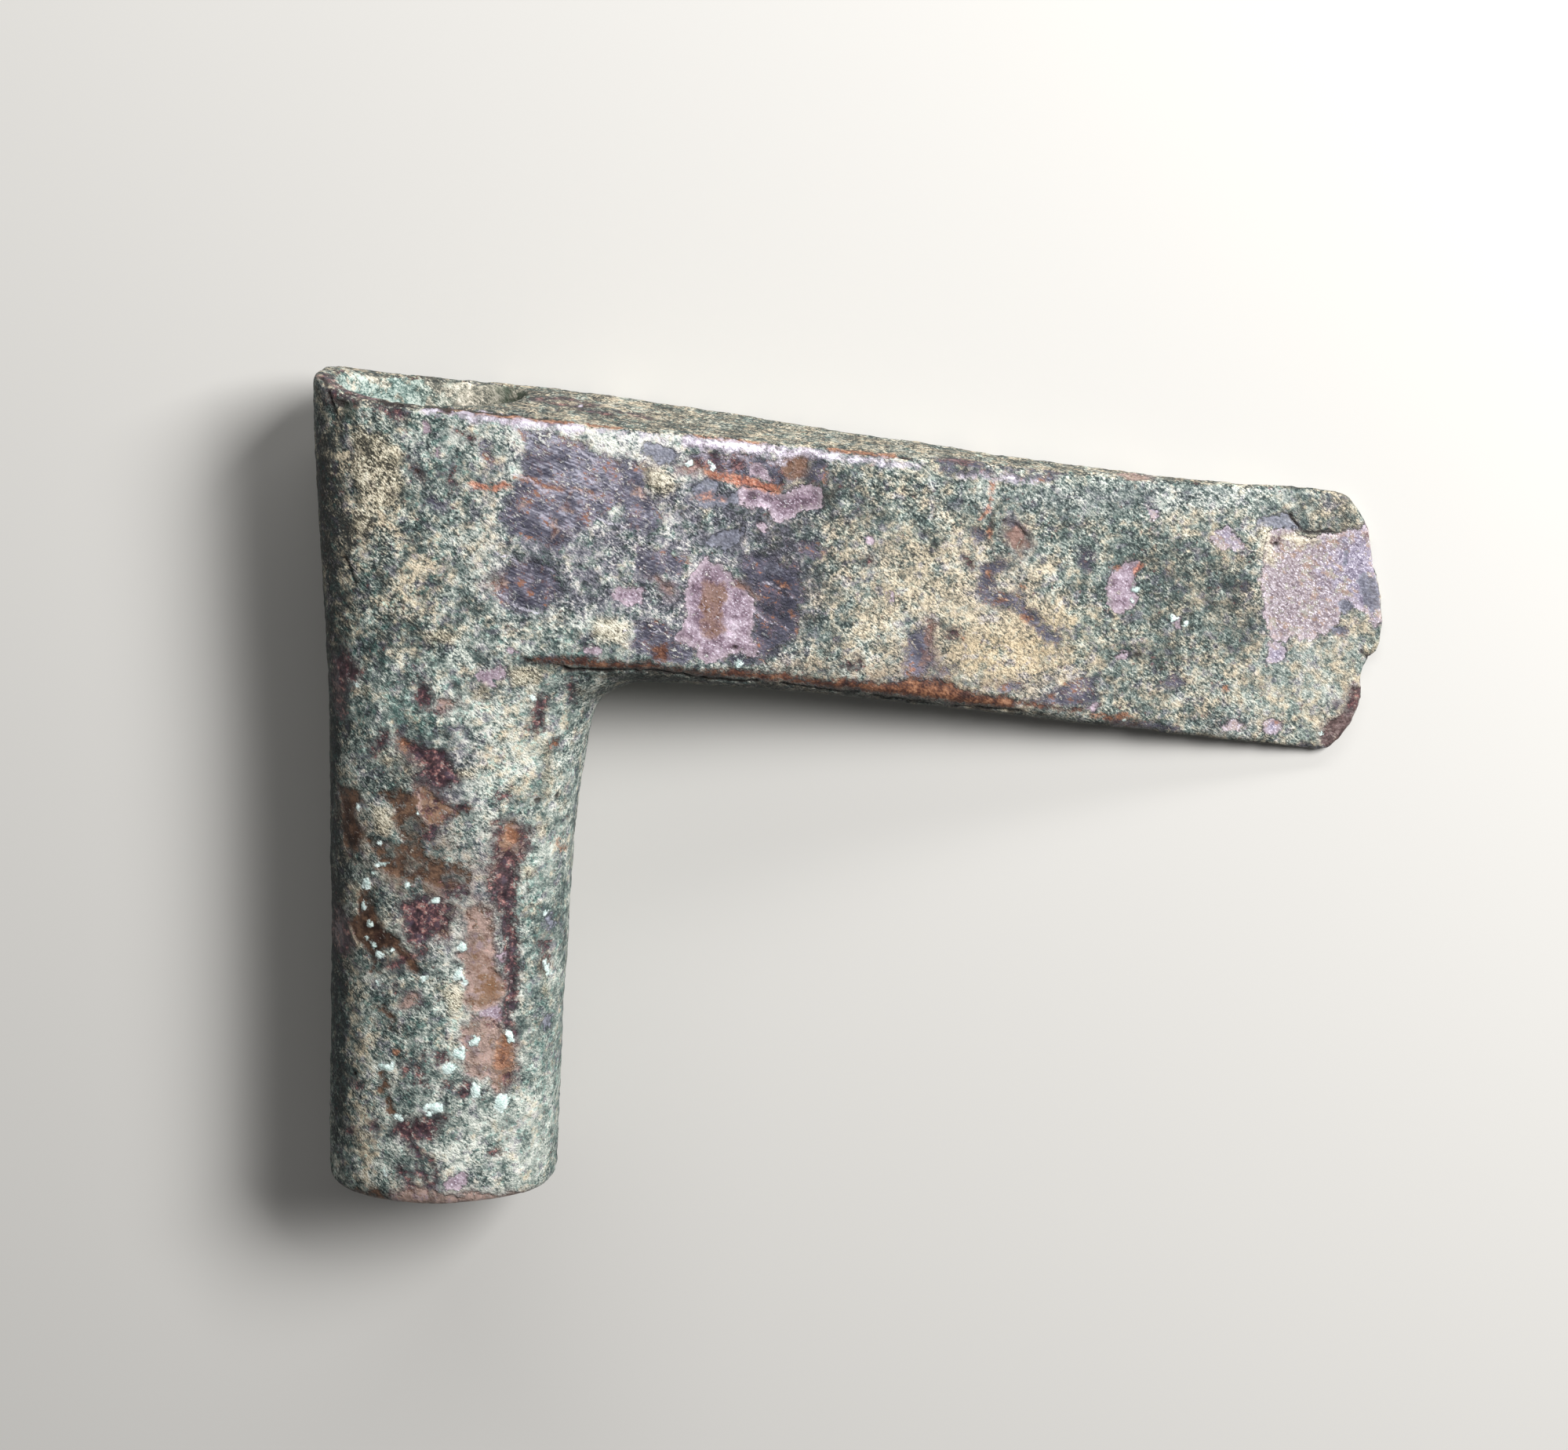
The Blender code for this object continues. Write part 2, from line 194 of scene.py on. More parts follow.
# Copper-brown plates.
COPPER = areas(
    (39.3, 91.5, 40.8, 91, 42.3, 90.2, 42, 88.6, 41.2, 87.5, 41.5, 85.8, 42, 84.5, 41, 83.2, 40.1, 82.9,
     39, 83.8, 38.4, 85.3, 39, 86.6, 38.2, 88, 38.9, 89.4),
    (50, 108.2, 51.8, 108.5, 53, 107.6, 53.2, 106.4, 52.4, 105.4, 51.2, 104.5, 50.6, 105.2, 49.6, 106.5),
    (129.9, 73.8, 130.8, 72, 130.6, 70, 129.4, 68, 128, 66, 126.3, 64.8, 125.2, 66, 124.8, 67.2,
     125.6, 68.3, 126.8, 69.2, 127.9, 69.7, 128.4, 71, 128.6, 72.4, 129.2, 73.4),
    (5.5, 45, 7.5, 46, 9, 44.5, 9.3, 42, 9.6, 39, 9.2, 36.5, 10.2, 35, 11, 33.5, 10.5, 31.8, 9.4, 30.4,
     7.5, 29.8, 5.6, 30.1, 4.9, 31.5, 5, 33, 5.5, 34.5, 5.2, 36.5, 4.4, 38, 5.3, 39, 6, 41, 5.8, 43),
    (5.5, 28.5, 8, 28.6, 9.5, 28, 10, 26.5, 11, 25.5, 11.8, 23.5, 11.9, 20.5, 11, 18.6, 9.5, 17, 8.7, 18.2,
     8.2, 20, 6.5, 19.5, 5.2, 20.5, 4.4, 22, 4.9, 24.3, 4.2, 25.5, 4.7, 27),
    (11.2, 57.3, 12.5, 57.6, 13.6, 56.6, 14.1, 54.6, 13.9, 52.7, 12.6, 52.4, 12, 51, 10.5, 50, 9, 50.2,
     9.6, 51.6, 10.3, 53.6, 10.2, 55.6),
    (-1.3, 63, 0.3, 62.8, 1.5, 61.8, 2.6, 60.6, 3.8, 60, 4.9, 59.4, 3.4, 58.6, 2.6, 57.2, 1.2, 57.3,
     0.2, 58.4, -0.6, 59.5, -1.2, 61),
    (-3, 69.3, -1.2, 69, -0.9, 68, -2.4, 67.4, -3, 68.2),
    (-3.9, 31, -2.4, 32.7, -1.4, 32.6, -1.7, 31.4, -3, 30.6, -3.9, 30.6),
    (-6, 1.8, -4.6, 2.2, -3, 3.4, -1, 2.8, 0.5, 2.4, 3, 2, 6, 2.2, 8.5, 1.6, 10.5, 0.9, 14, 0.3, 14, -1,
     -6.6, -1),
) + spots(
    (117.2, 94.9, 1, 0.8), (81.7, 95.8, 1.3, 1.8, 25), (3.8, 74.4, 1.4, 0.6, 8), (11.2, 91.8, 1.3, 0.7, 10),
    (129.9, 95.4, 0.4, 0.9), (3.6, 48.2, 1.6, 0.6), (30, 103.6, 0.9, 0.5), (19.2, 99, 0.4, 0.8),
    (20.8, 101.8, 0.8, 0.4), (15, 102, 0.6, 0.35), (37.4, 107, 1.2, 0.7), (0.4, 66.6, 1.2, 0.5, -25),
) + streaks(
    (0.9, 69.6, 84.6, 69.8, 81, 69, 78.5), (0.5, 32.4, 92, 34.4, 90),
    (0.6, 43.5, 90.7, 45, 89.9, 45.8, 88.6), (0.6, 1.8, 43.6, 1.2, 42.5, 2.2, 41.2),
    (0.7, 1.6, 44.4, 1.9, 43, 2.6, 41.2),
)

# Orange-brown metal along the worn lower arris of the blade.
RIDGE = areas(
    (14.9, 80.8, 16.5, 81.1, 19, 81.3, 21.4, 81.3, 24.3, 80.8, 26.9, 80.5, 29, 80.1, 29.3, 79.5, 27.4, 79.2,
     24.2, 79.6, 21.6, 80.1, 17.9, 80.2, 15.8, 80.4),
    (42.3, 78.9, 45.5, 78.5, 48.7, 78, 51.4, 77.5, 54.1, 77.1, 56.3, 76.8, 59, 76.5, 61.7, 76.4, 65, 76.1,
     67, 76.6, 70.4, 76.6, 73, 75.8, 74.2, 75, 75.8, 74.4, 78.3, 73.9, 80.2, 73.5, 82.3, 73, 82.3, 72.1,
     79.8, 71.7, 75.9, 72.2, 73.7, 72.5, 70.4, 73.1, 67.2, 73.7, 62.8, 74.4, 58.5, 75, 54.1, 75.9,
     51.4, 76.3, 48.2, 76.8, 45.2, 77.4, 42.3, 77.8),
    (31.8, 82.6, 34, 82.8, 33.8, 80.6, 32, 80.4),
) + spots((95.6, 69.8, 1.3, 0.6, -10), (90.6, 71.2, 0.8, 0.4), (98.6, 69.2, 0.7, 0.4)) + streaks(
    (1, 29, 79.9, 32.9, 79.3, 36.4, 78.6, 39, 78.3, 42.3, 78), (0.5, 82.4, 72.5, 85.7, 71.9, 89.1, 71.3),
)

# Plates of darker brown.
BROWN = areas(
    (-5.9, 62, -3.5, 62.4, -1.5, 62.2, -0.5, 61, -1.3, 60.2, -3.2, 60, -4.4, 60.2, -5.8, 60.4),
    (-4, 60.2, -1, 60.2, 0.2, 58, 0.3, 56.2, -0.6, 54.3, -2, 54.5, -3.3, 55.5, -3.6, 57.5, -4, 58.8),
    (-11.9, 61.3, -10.2, 61.9, -8.9, 61.2, -8.4, 60.2, -9.2, 59.4, -10, 58.5, -9.3, 56.6, -8.2, 55.3,
     -8.6, 54, -9.6, 52.2, -10.4, 52.2, -11.2, 53.6, -11.7, 56, -11.6, 59),
    (-8, 55.2, -5.5, 55.4, -3.8, 54.4, -2.6, 55.4, -0.4, 55, 0.6, 53, 2.5, 51.9, 4.8, 51.2, 6.4, 49.9,
     5.8, 48.4, 4.2, 47.6, 2, 48, 0, 48.8, -2.5, 49, -4, 50, -6, 50.6, -7, 51.6, -6.8, 53, -7.6, 54),
    (-10.2, 43, -9.6, 45, -9.4, 47, -8, 47.3, -7.2, 46.6, -7.3, 45, -6.7, 43.4, -6.2, 42, -4.8, 41.3,
     -3.9, 40.4, -3, 39, -1.6, 37.3, -0.3, 36, -0.8, 35.2, -2.4, 36, -3.8, 37.6, -4.7, 39, -6, 38.8, -7, 36,
     -6.6, 35, -8.2, 35.3, -8.3, 37.5, -9, 39, -10.4, 39.5, -11, 41.5),
    (-17, 1, -12, 1, -9.6, 1.5, -8, 2.6, -6.5, 1.8, -6, -1, -17, -1),
    (3.4, 58.8, 5, 59.8, 6.2, 60.2, 6, 59.2, 4.4, 58.4),
) + streaks(
    (1.1, -6, 29.7, -5, 28.7, -5.2, 26.8), (1.2, -6.8, 19.6, -6.9, 17.8, -6.4, 15.9, -5.9, 14.8),
)

# Wine-red pits.
WINE = areas(
    (-11.6, 79.5, -10.4, 81.6, -9.2, 80.4, -8, 79.2, -7.7, 78.3, -9, 77, -10.2, 75.8, -10.6, 74.2,
     -10.4, 72.4, -11, 71.4, -11.6, 72.6, -12.3, 75, -12.2, 77.4),
    (-3.1, 70.1, -1.6, 69.2, 0, 68.7, 1.8, 68.4, 3.2, 68, 4.2, 67, 4.6, 65.4, 5, 64, 4.3, 62.8, 2.8, 62.2,
     1.5, 62.4, 0.4, 63.4, -0.8, 64.4, 0.2, 65.6, -0.6, 66.6, -2, 67.8, -2.8, 69),
    (0.8, 57.4, 2.2, 57, 1.7, 55.6, 0.6, 54.9, -0.2, 55.6),
    (15.9, 75.2, 17.5, 75.2, 17.2, 73.8, 16.7, 72.2, 16.6, 70.6, 15.4, 70.2, 14.9, 71.6, 15.4, 73),
    (10.6, 53.6, 12.6, 53, 12.6, 50, 12.4, 46, 12, 44.4, 10.4, 45.2, 9, 47.2, 8.9, 49.4, 9.6, 51.4),
    (-3.4, 45.4, -1.4, 47, 1.4, 46.8, 3.4, 45.6, 3.4, 43.4, 2.4, 41.4, 0.6, 41.2, -0.8, 39.4, -2.6, 40.4,
     -3, 43),
    (-5.4, 12.4, -4.4, 13.4, -2.8, 13, -1.4, 14, 0.4, 13.6, 1.9, 14.2, 1.2, 12.8, 0.2, 12.2, 0.4, 11,
     -0.4, 10.2, -2.2, 10.6, -3.6, 10, -4.6, 10.6, -5.8, 11.2),
    (-12.8, 43.6, -11.2, 42.2, -10.8, 40.4, -11.2, 38.6, -12.2, 37, -13.8, 37.5, -14, 40.4),
    (3.6, 18, 4.6, 19.2, 5.8, 18.8, 5.6, 17.4, 4.4, 16.8),
    (-4.8, 115.8, -3, 115.6, -1, 115.6, -0.6, 114.4, -1.6, 113.8, -2.8, 114.4),
) + spots(
    (0.2, 46.2, 1.1, 0.7, 15), (0.9, 42, 0.9, 0.5, -30), (2, 41.2, 0.5, 1, 30), (-1.2, 42.6, 0.6, 0.5),
    (3, 47.4, 0.5, 1, 20), (3.4, 45.2, 0.5, 0.8), (-0.6, 61.9, 0.35, 0.35), (1.5, 61, 0.35, 0.55),
    (0.9, 59.5, 0.9, 0.55), (1.2, 56.1, 0.7, 1), (-10.6, 117, 0.9, 1, -30), (-8.6, 116.3, 1.2, 0.7, -10),
    (7.7, 111.5, 0.8, 0.35, -20), (4.6, 47.6, 1, 0.7), (2, 60.6, 0.5, 0.8), (3.2, 58.6, 0.5, 0.4),
    (0.6, 61.4, 0.4, 0.3), (10.6, 19.4, 0.7, 1), (9.2, 27.4, 0.8, 0.6), (0.7, 75.8, 1.1, 1.35),
    (-8.5, 11.7, 0.5, 1), (-3.3, 21.2, 0.5, 0.7), (-1.7, 20.8, 0.5, 0.9), (8.7, 7.9, 0.6, 0.5),
    (1.2, 59.5, 0.7, 0.5), (18.2, 68.2, 0.35, 0.5), (5.5, 105.8, 0.3, 0.7), (-0.1, 46, 0.9, 0.5),
    (20.8, 75.9, 0.35, 0.9), (-4.4, 33.2, 0.3), (72.9, 82.8, 0.6, 0.6), (58.6, 78.8, 0.7, 0.4),
    (60.1, 79.4, 0.5, 0.8), (61.3, 93.2, 0.5, 0.5), (1.5, 22.8, 0.8, 0.8), (-0.7, 23.1, 0.4),
    (-1.6, 18.9, 0.7, 0.4), (2.2, 18.6, 0.4), (5.2, 60, 0.8, 0.6), (11, 61.1, 0.8, 0.5), (-12.1, 10.2, 0.5),
    (-10.7, 17.6, 0.4), (0.9, 106.6, 0.3, 0.6, 30), (75, 92.8, 0.5, 0.7, 30), (2.6, 73.6, 0.6, 0.4),
    (129.4, 71.6, 0.6, 1.6), (40.4, 108, 1.3, 0.9), (43.6, 107.4, 1.2, 1.1), (38.2, 107.4, 0.7, 0.6),
    (49.4, 105, 0.6, 0.8), (41.6, 106.8, 0.8, 0.5),
) + streaks(
    (1.6, 11.4, 45, 11.5, 42, 11.7, 39.8, 11.5, 36, 11.8, 34, 11.6, 32, 11.2, 30),
    (1.2, 11.2, 30, 10.4, 28.5, 11, 27, 11.8, 26), (1, -3, 45.2, -2.3, 43.4, -2.6, 41.6, -1.6, 40.6),
    (0.9, -1.4, 40.4, -0.4, 38.8), (0.9, 13.3, 55.8, 13.1, 52.4), (1.1, -0.4, 44, 1, 43.8, 2, 42.8),
    (0.9, 15.9, 38.4, 16.2, 36.4, 16.4, 34.8), (0.7, 10.2, 57.2, 10.4, 55, 9.8, 53),
    (0.6, 14, 56.4, 14.3, 54, 13.6, 52.6), (0.8, -1.6, 38.6, -3.4, 37, -5, 36.6),
    (1.2, -6.3, 67.7, -5.6, 69, -4.8, 70.2), (0.7, -2.9, 9.5, -2, 8.2),
    (0.8, -4.6, 5.8, -4, 4.4, -3.2, 3.2), (0.8, -2.2, 5.8, -1.5, 4.6, -0.8, 3.2),
    (0.5, -1, 7.8, -0.2, 7, 0.6, 6), (0.5, 0.2, 5, -0.4, 3.6),
)

# Orange streaks and specks.
RUST = areas(
    (9.3, 25.2, 10.4, 26, 10.8, 24, 11.2, 22, 11.6, 21, 10, 20.6, 9, 21.2, 9.4, 23),
    (11.4, 56.6, 12.6, 56.8, 13.2, 55.4, 12.6, 54.2, 11.6, 54.6),
) + spots(
    (48.8, 90.7, 0.35, 0.3), (49.8, 90.2, 0.5, 0.35), (51, 86.2, 0.3, 0.3), (95.4, 91.5, 0.4, 0.3),
    (77.9, 91, 0.3, 0.5), (82.4, 89.3, 0.5, 0.35), (79.6, 86.9, 0.9, 0.3), (83.3, 84.6, 0.8, 0.6),
    (88.8, 75, 0.3, 0.4), (86.9, 73.3, 0.5, 0.5), (89.6, 72.8, 0.3, 0.3), (93.6, 70.4, 1, 0.4),
    (97, 70, 0.9, 0.6), (74.7, 82.2, 0.25, 0.5), (-4.7, 23.5, 0.5, 0.7), (77.8, 96.8, 0.3, 0.6),
    (-2.5, 69.1, 0.9, 0.6, -30), (111.2, 74, 0.45, 0.4), (118.6, 68.8, 0.4, 0.3), (18.2, 68.2, 0.3, 0.4),
) + streaks(
    (0.9, 39.1, 106.8, 41.3, 105.8, 43.5, 105), (1.3, 43.5, 105, 46.2, 104.4, 48.8, 103.8),
    (0.7, 8.3, 105.2, 10, 104.7, 13, 104.9), (0.5, 14, 106, 18, 105, 24, 104),
    (0.45, 78.2, 104.4, 78.1, 102, 77.6, 100.2, 76.4, 98.8), (0.6, 98.9, 91.6, 98.2, 90.8),
    (0.35, 18.4, 53.8, 19.1, 51.5), (0.25, 37.8, 102.8, 42.2, 102.6), (0.25, 38.4, 103.4, 40.2, 103.2),
)

# Pale turquoise spots that stand out.
PEARL = spots(
    (-8.4, 48.2, 0.5, 0.9), (-7.3, 49.8, 0.45, 0.4), (-5.7, 51.4, 0.8, 0.35), (-2.6, 48.4, 0.4, 0.3),
    (1.4, 46.3, 0.5, 0.45), (-8.6, 44.8, 0.45, 0.6), (-8, 42.5, 0.5, 0.5), (-8.4, 40.1, 0.3, 0.3),
    (-7.3, 39.2, 0.5, 0.5), (-4.8, 38.8, 0.3, 0.3), (-6.6, 37.8, 0.6, 0.5), (-0.2, 34.8, 0.7, 0.45),
    (5.2, 39.6, 0.75, 0.75), (4.4, 35.2, 0.55, 0.9), (5.2, 34.5, 0.4, 0.4), (-6.9, 33.6, 0.3),
    (6.3, 25.3, 0.7, 0.9), (11, 25.6, 0.5, 0.9), (11.6, 24.9, 0.3, 0.3), (3.9, 23.4, 1, 0.9),
    (4.6, 24.2, 0.5, 0.4), (2.6, 21.2, 0.9, 0.8), (-6.2, 21, 1.2, 0.5, 12), (-5.3, 21.4, 0.5, 0.5),
    (-7.1, 21.2, 0.5, 0.5), (6.2, 17.8, 0.7, 1), (9.6, 15.7, 1, 1.2), (0.7, 15.3, 1, 1),
    (-0.6, 15.6, 0.7, 0.5), (-0.4, 14.4, 0.4, 0.5), (-5.1, 13.9, 0.45), (-4.5, 13.5, 0.5, 0.45),
    (-7.1, 4.7, 0.3, 0.5), (37.2, 107.5, 0.45, 0.4), (40.5, 107.1, 0.45, 0.4), (40, 107.8, 0.3),
    (43.5, 79.7, 0.5, 0.6), (98.2, 88.4, 0.6, 0.5), (97.8, 86.8, 0.3, 0.4), (103.6, 84.2, 0.5, 0.4),
    (105.2, 83.3, 0.5, 0.3), (125, 67.3, 0.3), (97.2, 69.4, 0.3), (-9.2, 59, 0.4, 0.3),
    (16.4, 43.2, 0.35, 0.5), (-6.2, 54.4, 0.35), (-0.7, 59.2, 0.3), (-8.9, 76.8, 0.3), (15.5, 75, 0.3, 0.4),
) + streaks((0.5, 16.3, 35.8, 16.6, 33.6))

# Thick cream crust.
CREAM = areas(
    (-7, 112.5, -3.5, 112, -1.5, 109.5, -1, 106, -2, 103, -5, 101.5, -7.5, 102.5, -8, 106, -7.5, 110),
    (-8.2, 101.3, -5.2, 101.3, -5, 99.5, -6.2, 97.8, -8.4, 98.2),
    (23.6, 86.4, 26, 86.8, 28.5, 86, 29, 84.4, 27.4, 83.3, 24.5, 83.6),
    (2, 33.2, 4, 33.8, 4.8, 31.5, 4.2, 29.5, 2.8, 29.6, 2.4, 31.5),
    (-7, 60, -5, 59.4, -4.2, 57.4, -4.6, 55.6, -6.4, 55.8, -7, 57.8),
    (12, 79.6, 15, 80, 17, 79, 16, 77.4, 13, 77),
    (31, 107, 34.5, 106.6, 35.4, 104.4, 33, 103.6, 31.4, 105),
    (0.4, 84.6, 3, 85.2, 5.6, 84.6, 5, 83.2, 2, 83.2),
) + spots(
    (-4.7, 66.8, 0.9, 0.5), (-7.5, 76, 0.6, 0.6), (8.6, 76.4, 1.2, 1.2), (17, 79.8, 0.8, 0.3),
    (34, 78.5, 0.9, 0.3), (48.6, 76.2, 0.8, 0.3), (16.4, 55.5, 0.8, 0.8), (6.4, 64.8, 1.4, 0.6),
    (14.4, 49.6, 1, 0.8),
) + streaks(
    (1.4, 115.6, 96.2, 116.2, 94.6, 116.7, 92.4), (1.2, 118.6, 95.7, 120.4, 94.9, 122.4, 94.7),
    (0.35, -9.6, 47.5, -9.8, 45.5, -10.3, 43.2), (0.35, -11, 41, -10.7, 39.6, -9.3, 38.8),
    (0.5, 15.9, 36.2, 16.2, 33, 16, 31), (0.7, 17.2, 68.4, 17.4, 65, 17.2, 61.2),
)

# Where the upper arris is worn bright, and painted pale as its highlight too, with streaks of that highlight.
POLISH_AND_HIGHLIGHT = streaks(
    (0.4, 2, 115, 6, 114.6), (1, 6, 114.6, 10, 114.2, 14, 113.7), (1.3, 14, 113.7, 19, 113.1, 22.6, 112.6),
    (0.5, 25, 112.3, 29, 111.7), (0.4, 31, 111.5, 34.6, 111), (1.4, 37, 110.3, 40, 110, 45, 109.4),
    (1, 45, 109.4, 52, 108.7, 58, 107.8), (0.6, 58, 107.9, 63, 107, 68, 106.3),
    (0.35, 38.2, 109.6, 39.6, 108.4), (0.35, 40.8, 109.4, 42.2, 108), (0.35, 43.2, 109.2, 44.8, 107.8),
    (0.4, 46, 108.8, 48.4, 107.3), (0.3, 48.8, 108.3, 50, 107.3), (0.3, 74, 105.2, 84, 103.8),
)

# Long scratches in the bare metal.
SCRATCHES = streaks(
    (0.4, 11.3, 90.2, 13.8, 88.3, 16.4, 87.5), (0.3, 22.4, 109.8, 24.6, 108.2),
    (0.22, 17.4, 104.6, 25.6, 103.7), (0.25, 21.6, 106.9, 28, 104), (0.22, 28, 84.9, 33.8, 84.2),
    (0.25, 18.4, 111, 19.6, 109.6), (0.2, 13, 107, 19, 103.6), (0.2, 16, 101.6, 22, 98.4),
    (0.2, 23, 101.4, 29, 98.6), (0.2, 11, 96, 16.6, 93.2), (0.18, 46.2, 91.4, 51.4, 88.4),
    (0.18, 45.6, 86.6, 50.6, 84),
)

# Dark pits and cracks, such as the step of the broken corner. The dark lines along that step and along the
# blade's lower arris are also painted shade under those ledges.
PITS_AND_LEDGE_SHADE = spots(
    (10.8, 37.4, 0.35), (43.2, 81.8, 0.5, 0.4), (117.4, 94.4, 0.5, 0.45), (15.9, 60.3, 0.35, 0.5),
    (98.8, 79.1, 0.6, 0.3), (0.8, 106.8, 0.2, 0.4, 40), (61.8, 93.9, 0.3), (-11.2, 19.3, 0.25, 0.4),
    (18.2, 60.1, 0.3, 0.6),
) + streaks(
    # The step of the broken corner: a crack, with painted shade under its ledge.
    (0.5, 119.4, 98.7, 119.8, 97.9, 120.5, 96.8, 121.2, 96.2, 123, 95.9, 125.6, 95.9),
    (0.3, 126.4, 96.7, 128.3, 96.5), (0.3, 78, 99.4, 78.2, 97.2), (0.3, 79.6, 98.6, 81.8, 97.6, 83.4, 95.6),
    # From 14, 81.1 to 82, 71.3: painted shade under the blade's lower arris.
    (0.3, 75.6, 101, 78.6, 97.6), (0.5, 14, 81.1, 15.4, 80.7), (0.3, 15.4, 80.3, 18, 80, 20, 79.8),
    (0.8, 20, 79.5, 22.5, 79.2, 26.3, 78.8), (0.4, 26.3, 78.9, 29.6, 79, 33, 78.5, 37, 77.8),
    (0.45, 38.4, 77.5, 42, 77.1, 46, 76.8), (0.3, 49, 76.1, 54, 75.4, 60, 74.4), (0.3, 62, 73.9, 70, 72.5),
    (0.3, 73, 72, 82, 71.3), (0.3, -9.6, 94.6, -8, 90.8), (0.7, -4.4, 116.3, -1, 115.8, 1.6, 115.5),
    (0.8, 1.6, 115.5, 5, 115.1, 8.4, 114.7), (0.4, -11.2, 117, -10.8, 115.6, -10.4, 114.2),
    (0.9, -9.8, 115.8, -8.8, 115.4), (0.35, 47.6, 101, 47.4, 99.8, 48.2, 99.2),
    (0.25, 48.6, 90, 49.8, 88.6), (0.5, 130.2, 79, 131.4, 78.2), (0.3, 14.2, 50, 14, 46.6),
)

# Soft blots of x, z, half width, half height and strength. The crust is light (above 0) or dark here, mostly
# in its own tone. The dark blots at the socket's left edge (x -9 to -14) and right edge (x 20.5) are painted
# shade, and the light blots along the upper arris, from x 17 to 33, are a painted sheen.
TONE_AND_PAINTED_LIGHT = [
    (34, 96, 4, 7, 0.35), (30, 100, 5, 4, 0.4), (26.5, 85, 2.4, 1.8, 1.3), (24, 90, 5, 2.5, -0.2),
    (19, 85, 7, 5, -0.25), (20, 99.5, 3.5, 3, 0.3), (25.5, 95.5, 2.5, 2.5, -0.35), (31, 104, 3, 4, 0.1),
    (35, 104, 2, 2.5, -0.5), (17, 111.6, 6, 1.8, 1.6), (26, 110, 5, 1.8, 1.1), (21, 105, 5, 4, 1.3),
    (33, 111, 4, 1.5, 1.2), (30, 92, 2.5, 2.5, -0.5), (25, 88, 2.5, 2, 0.3), (22, 80, 4, 2.5, -0.3),
    (44, 100, 4, 3, -0.2), (50, 97, 5, 10, -0.85), (48, 86, 3, 6, -1.2), (46, 81, 4, 3, -0.3),
    (55, 86, 3, 9, -0.65), (58, 104, 6, 4, -0.75), (40, 90, 3, 5, -0.2), (40, 98, 3, 3.5, -0.4),
    (57, 102, 4, 3, -0.25), (66, 88, 9, 10, 0.2), (70, 85, 4, 4, 0.15), (78, 81, 11, 5, 0.5),
    (82, 81, 4, 6, 0.25), (86, 78.5, 5, 4, 0.45), (77, 88, 4, 3, 0.3), (74, 96, 6, 5, 0.1),
    (65, 98, 3, 4, 0.25), (73, 93, 4, 3, -0.2), (68, 102, 7, 4, -0.35), (73, 104, 4, 2, 0.3),
    (60, 80, 5, 3, 0.15), (90, 98, 6, 4, -0.3), (91, 89, 5, 7, -0.4), (96, 94, 4.5, 9, -0.45),
    (99, 79.5, 5, 4, -0.7), (98, 72.5, 5, 2.5, -0.3), (109, 75, 5, 4, 0.2), (104, 90, 9, 8, -0.5),
    (108, 91, 3, 3, 0.3), (112, 86, 4, 6, -0.8), (103, 76, 6, 4, -0.15), (97, 103, 6, 2, -0.2),
    (101, 100, 5, 2.5, 0.35), (120, 100, 3, 2, 0.25), (111, 100.5, 8, 2, 0.2), (126, 99.5, 6, 3, -0.45),
    (124, 94, 6, 3, -0.5), (123, 88, 7, 8, 0.1), (130, 80, 4, 4, 0.5), (122, 74, 7, 6, 0.15),
    (114, 73, 5, 2, 0.3), (112, 69.5, 8, 2, -0.5), (131, 87, 1.6, 3, -0.6), (117, 97.6, 3, 1.2, 0.3),
    (116.2, 95, 1.2, 3, 1.1), (120.6, 95, 2.4, 0.9, 1.1), (-4, 108, 4, 8, -0.15), (-11, 106, 3, 14, -1),
    (-11, 110, 2.6, 8, -0.5), (-9, 88, 4, 12, -0.75), (5, 109, 3, 3, 0.6), (3, 100, 6, 5, -0.35),
    (9, 98, 4, 6, 0.5), (7.5, 106.8, 4, 2, 0.4), (0, 93, 2, 5, 0.35), (-1, 100, 3, 3, -0.3),
    (0, 88, 3, 3, 0.3), (2, 92, 6, 5, -0.3), (-5, 93, 3, 5, -0.25), (6, 85.5, 5, 3, 0.2),
    (5, 88.5, 2.5, 2, -0.35), (-6, 84, 4, 4, -0.3), (10.5, 68, 5, 8, 0.75), (15.5, 71, 2.2, 3, -0.4),
    (20, 68, 2, 4, 0.3), (0.5, 69.5, 3.5, 9, -0.95), (-8, 66, 3, 6, -0.45), (-10, 47, 3, 7, -0.8),
    (-4, 46, 3, 4, -0.4), (0, 45, 2, 4, -0.3), (0, 48.5, 2.5, 2.5, -0.3), (-5, 57, 2.5, 3, 0.3),
    (9.5, 56, 2.5, 3, 0.3), (5.5, 48, 2, 5, 0.4), (16, 54, 2.6, 14, 0.4), (17, 30, 2.4, 26, 0.12),
    (20.5, 30, 2, 9, -1.3), (20.5, 50, 1.6, 5, -0.4), (7, 29, 4, 4, 0.4), (7.5, 46, 2, 4, 0.5),
    (0, 30, 5, 6, -0.35), (3.4, 41, 1.8, 7, 0.5), (4, 32, 2, 5, 0.9), (-9, 34, 3, 6, 0.7),
    (-9, 8, 3, 6, 0.75), (-3, 24, 4, 5, -0.3), (-4, 19.5, 3, 2.5, 0.25), (5, 9, 3.5, 5, 1.25),
    (-10, 8, 2, 3, 0.4), (14, 15, 3, 6, 0.3), (13, 7, 4, 4, 0.55), (10, 3.5, 4, 3, 0.5),
    (-3, 17, 4, 4, -0.4), (-14, 40, 2.6, 34, -2.2), (-13, 75, 2.4, 10, -1), (-14, 98, 2.4, 14, -1),
]

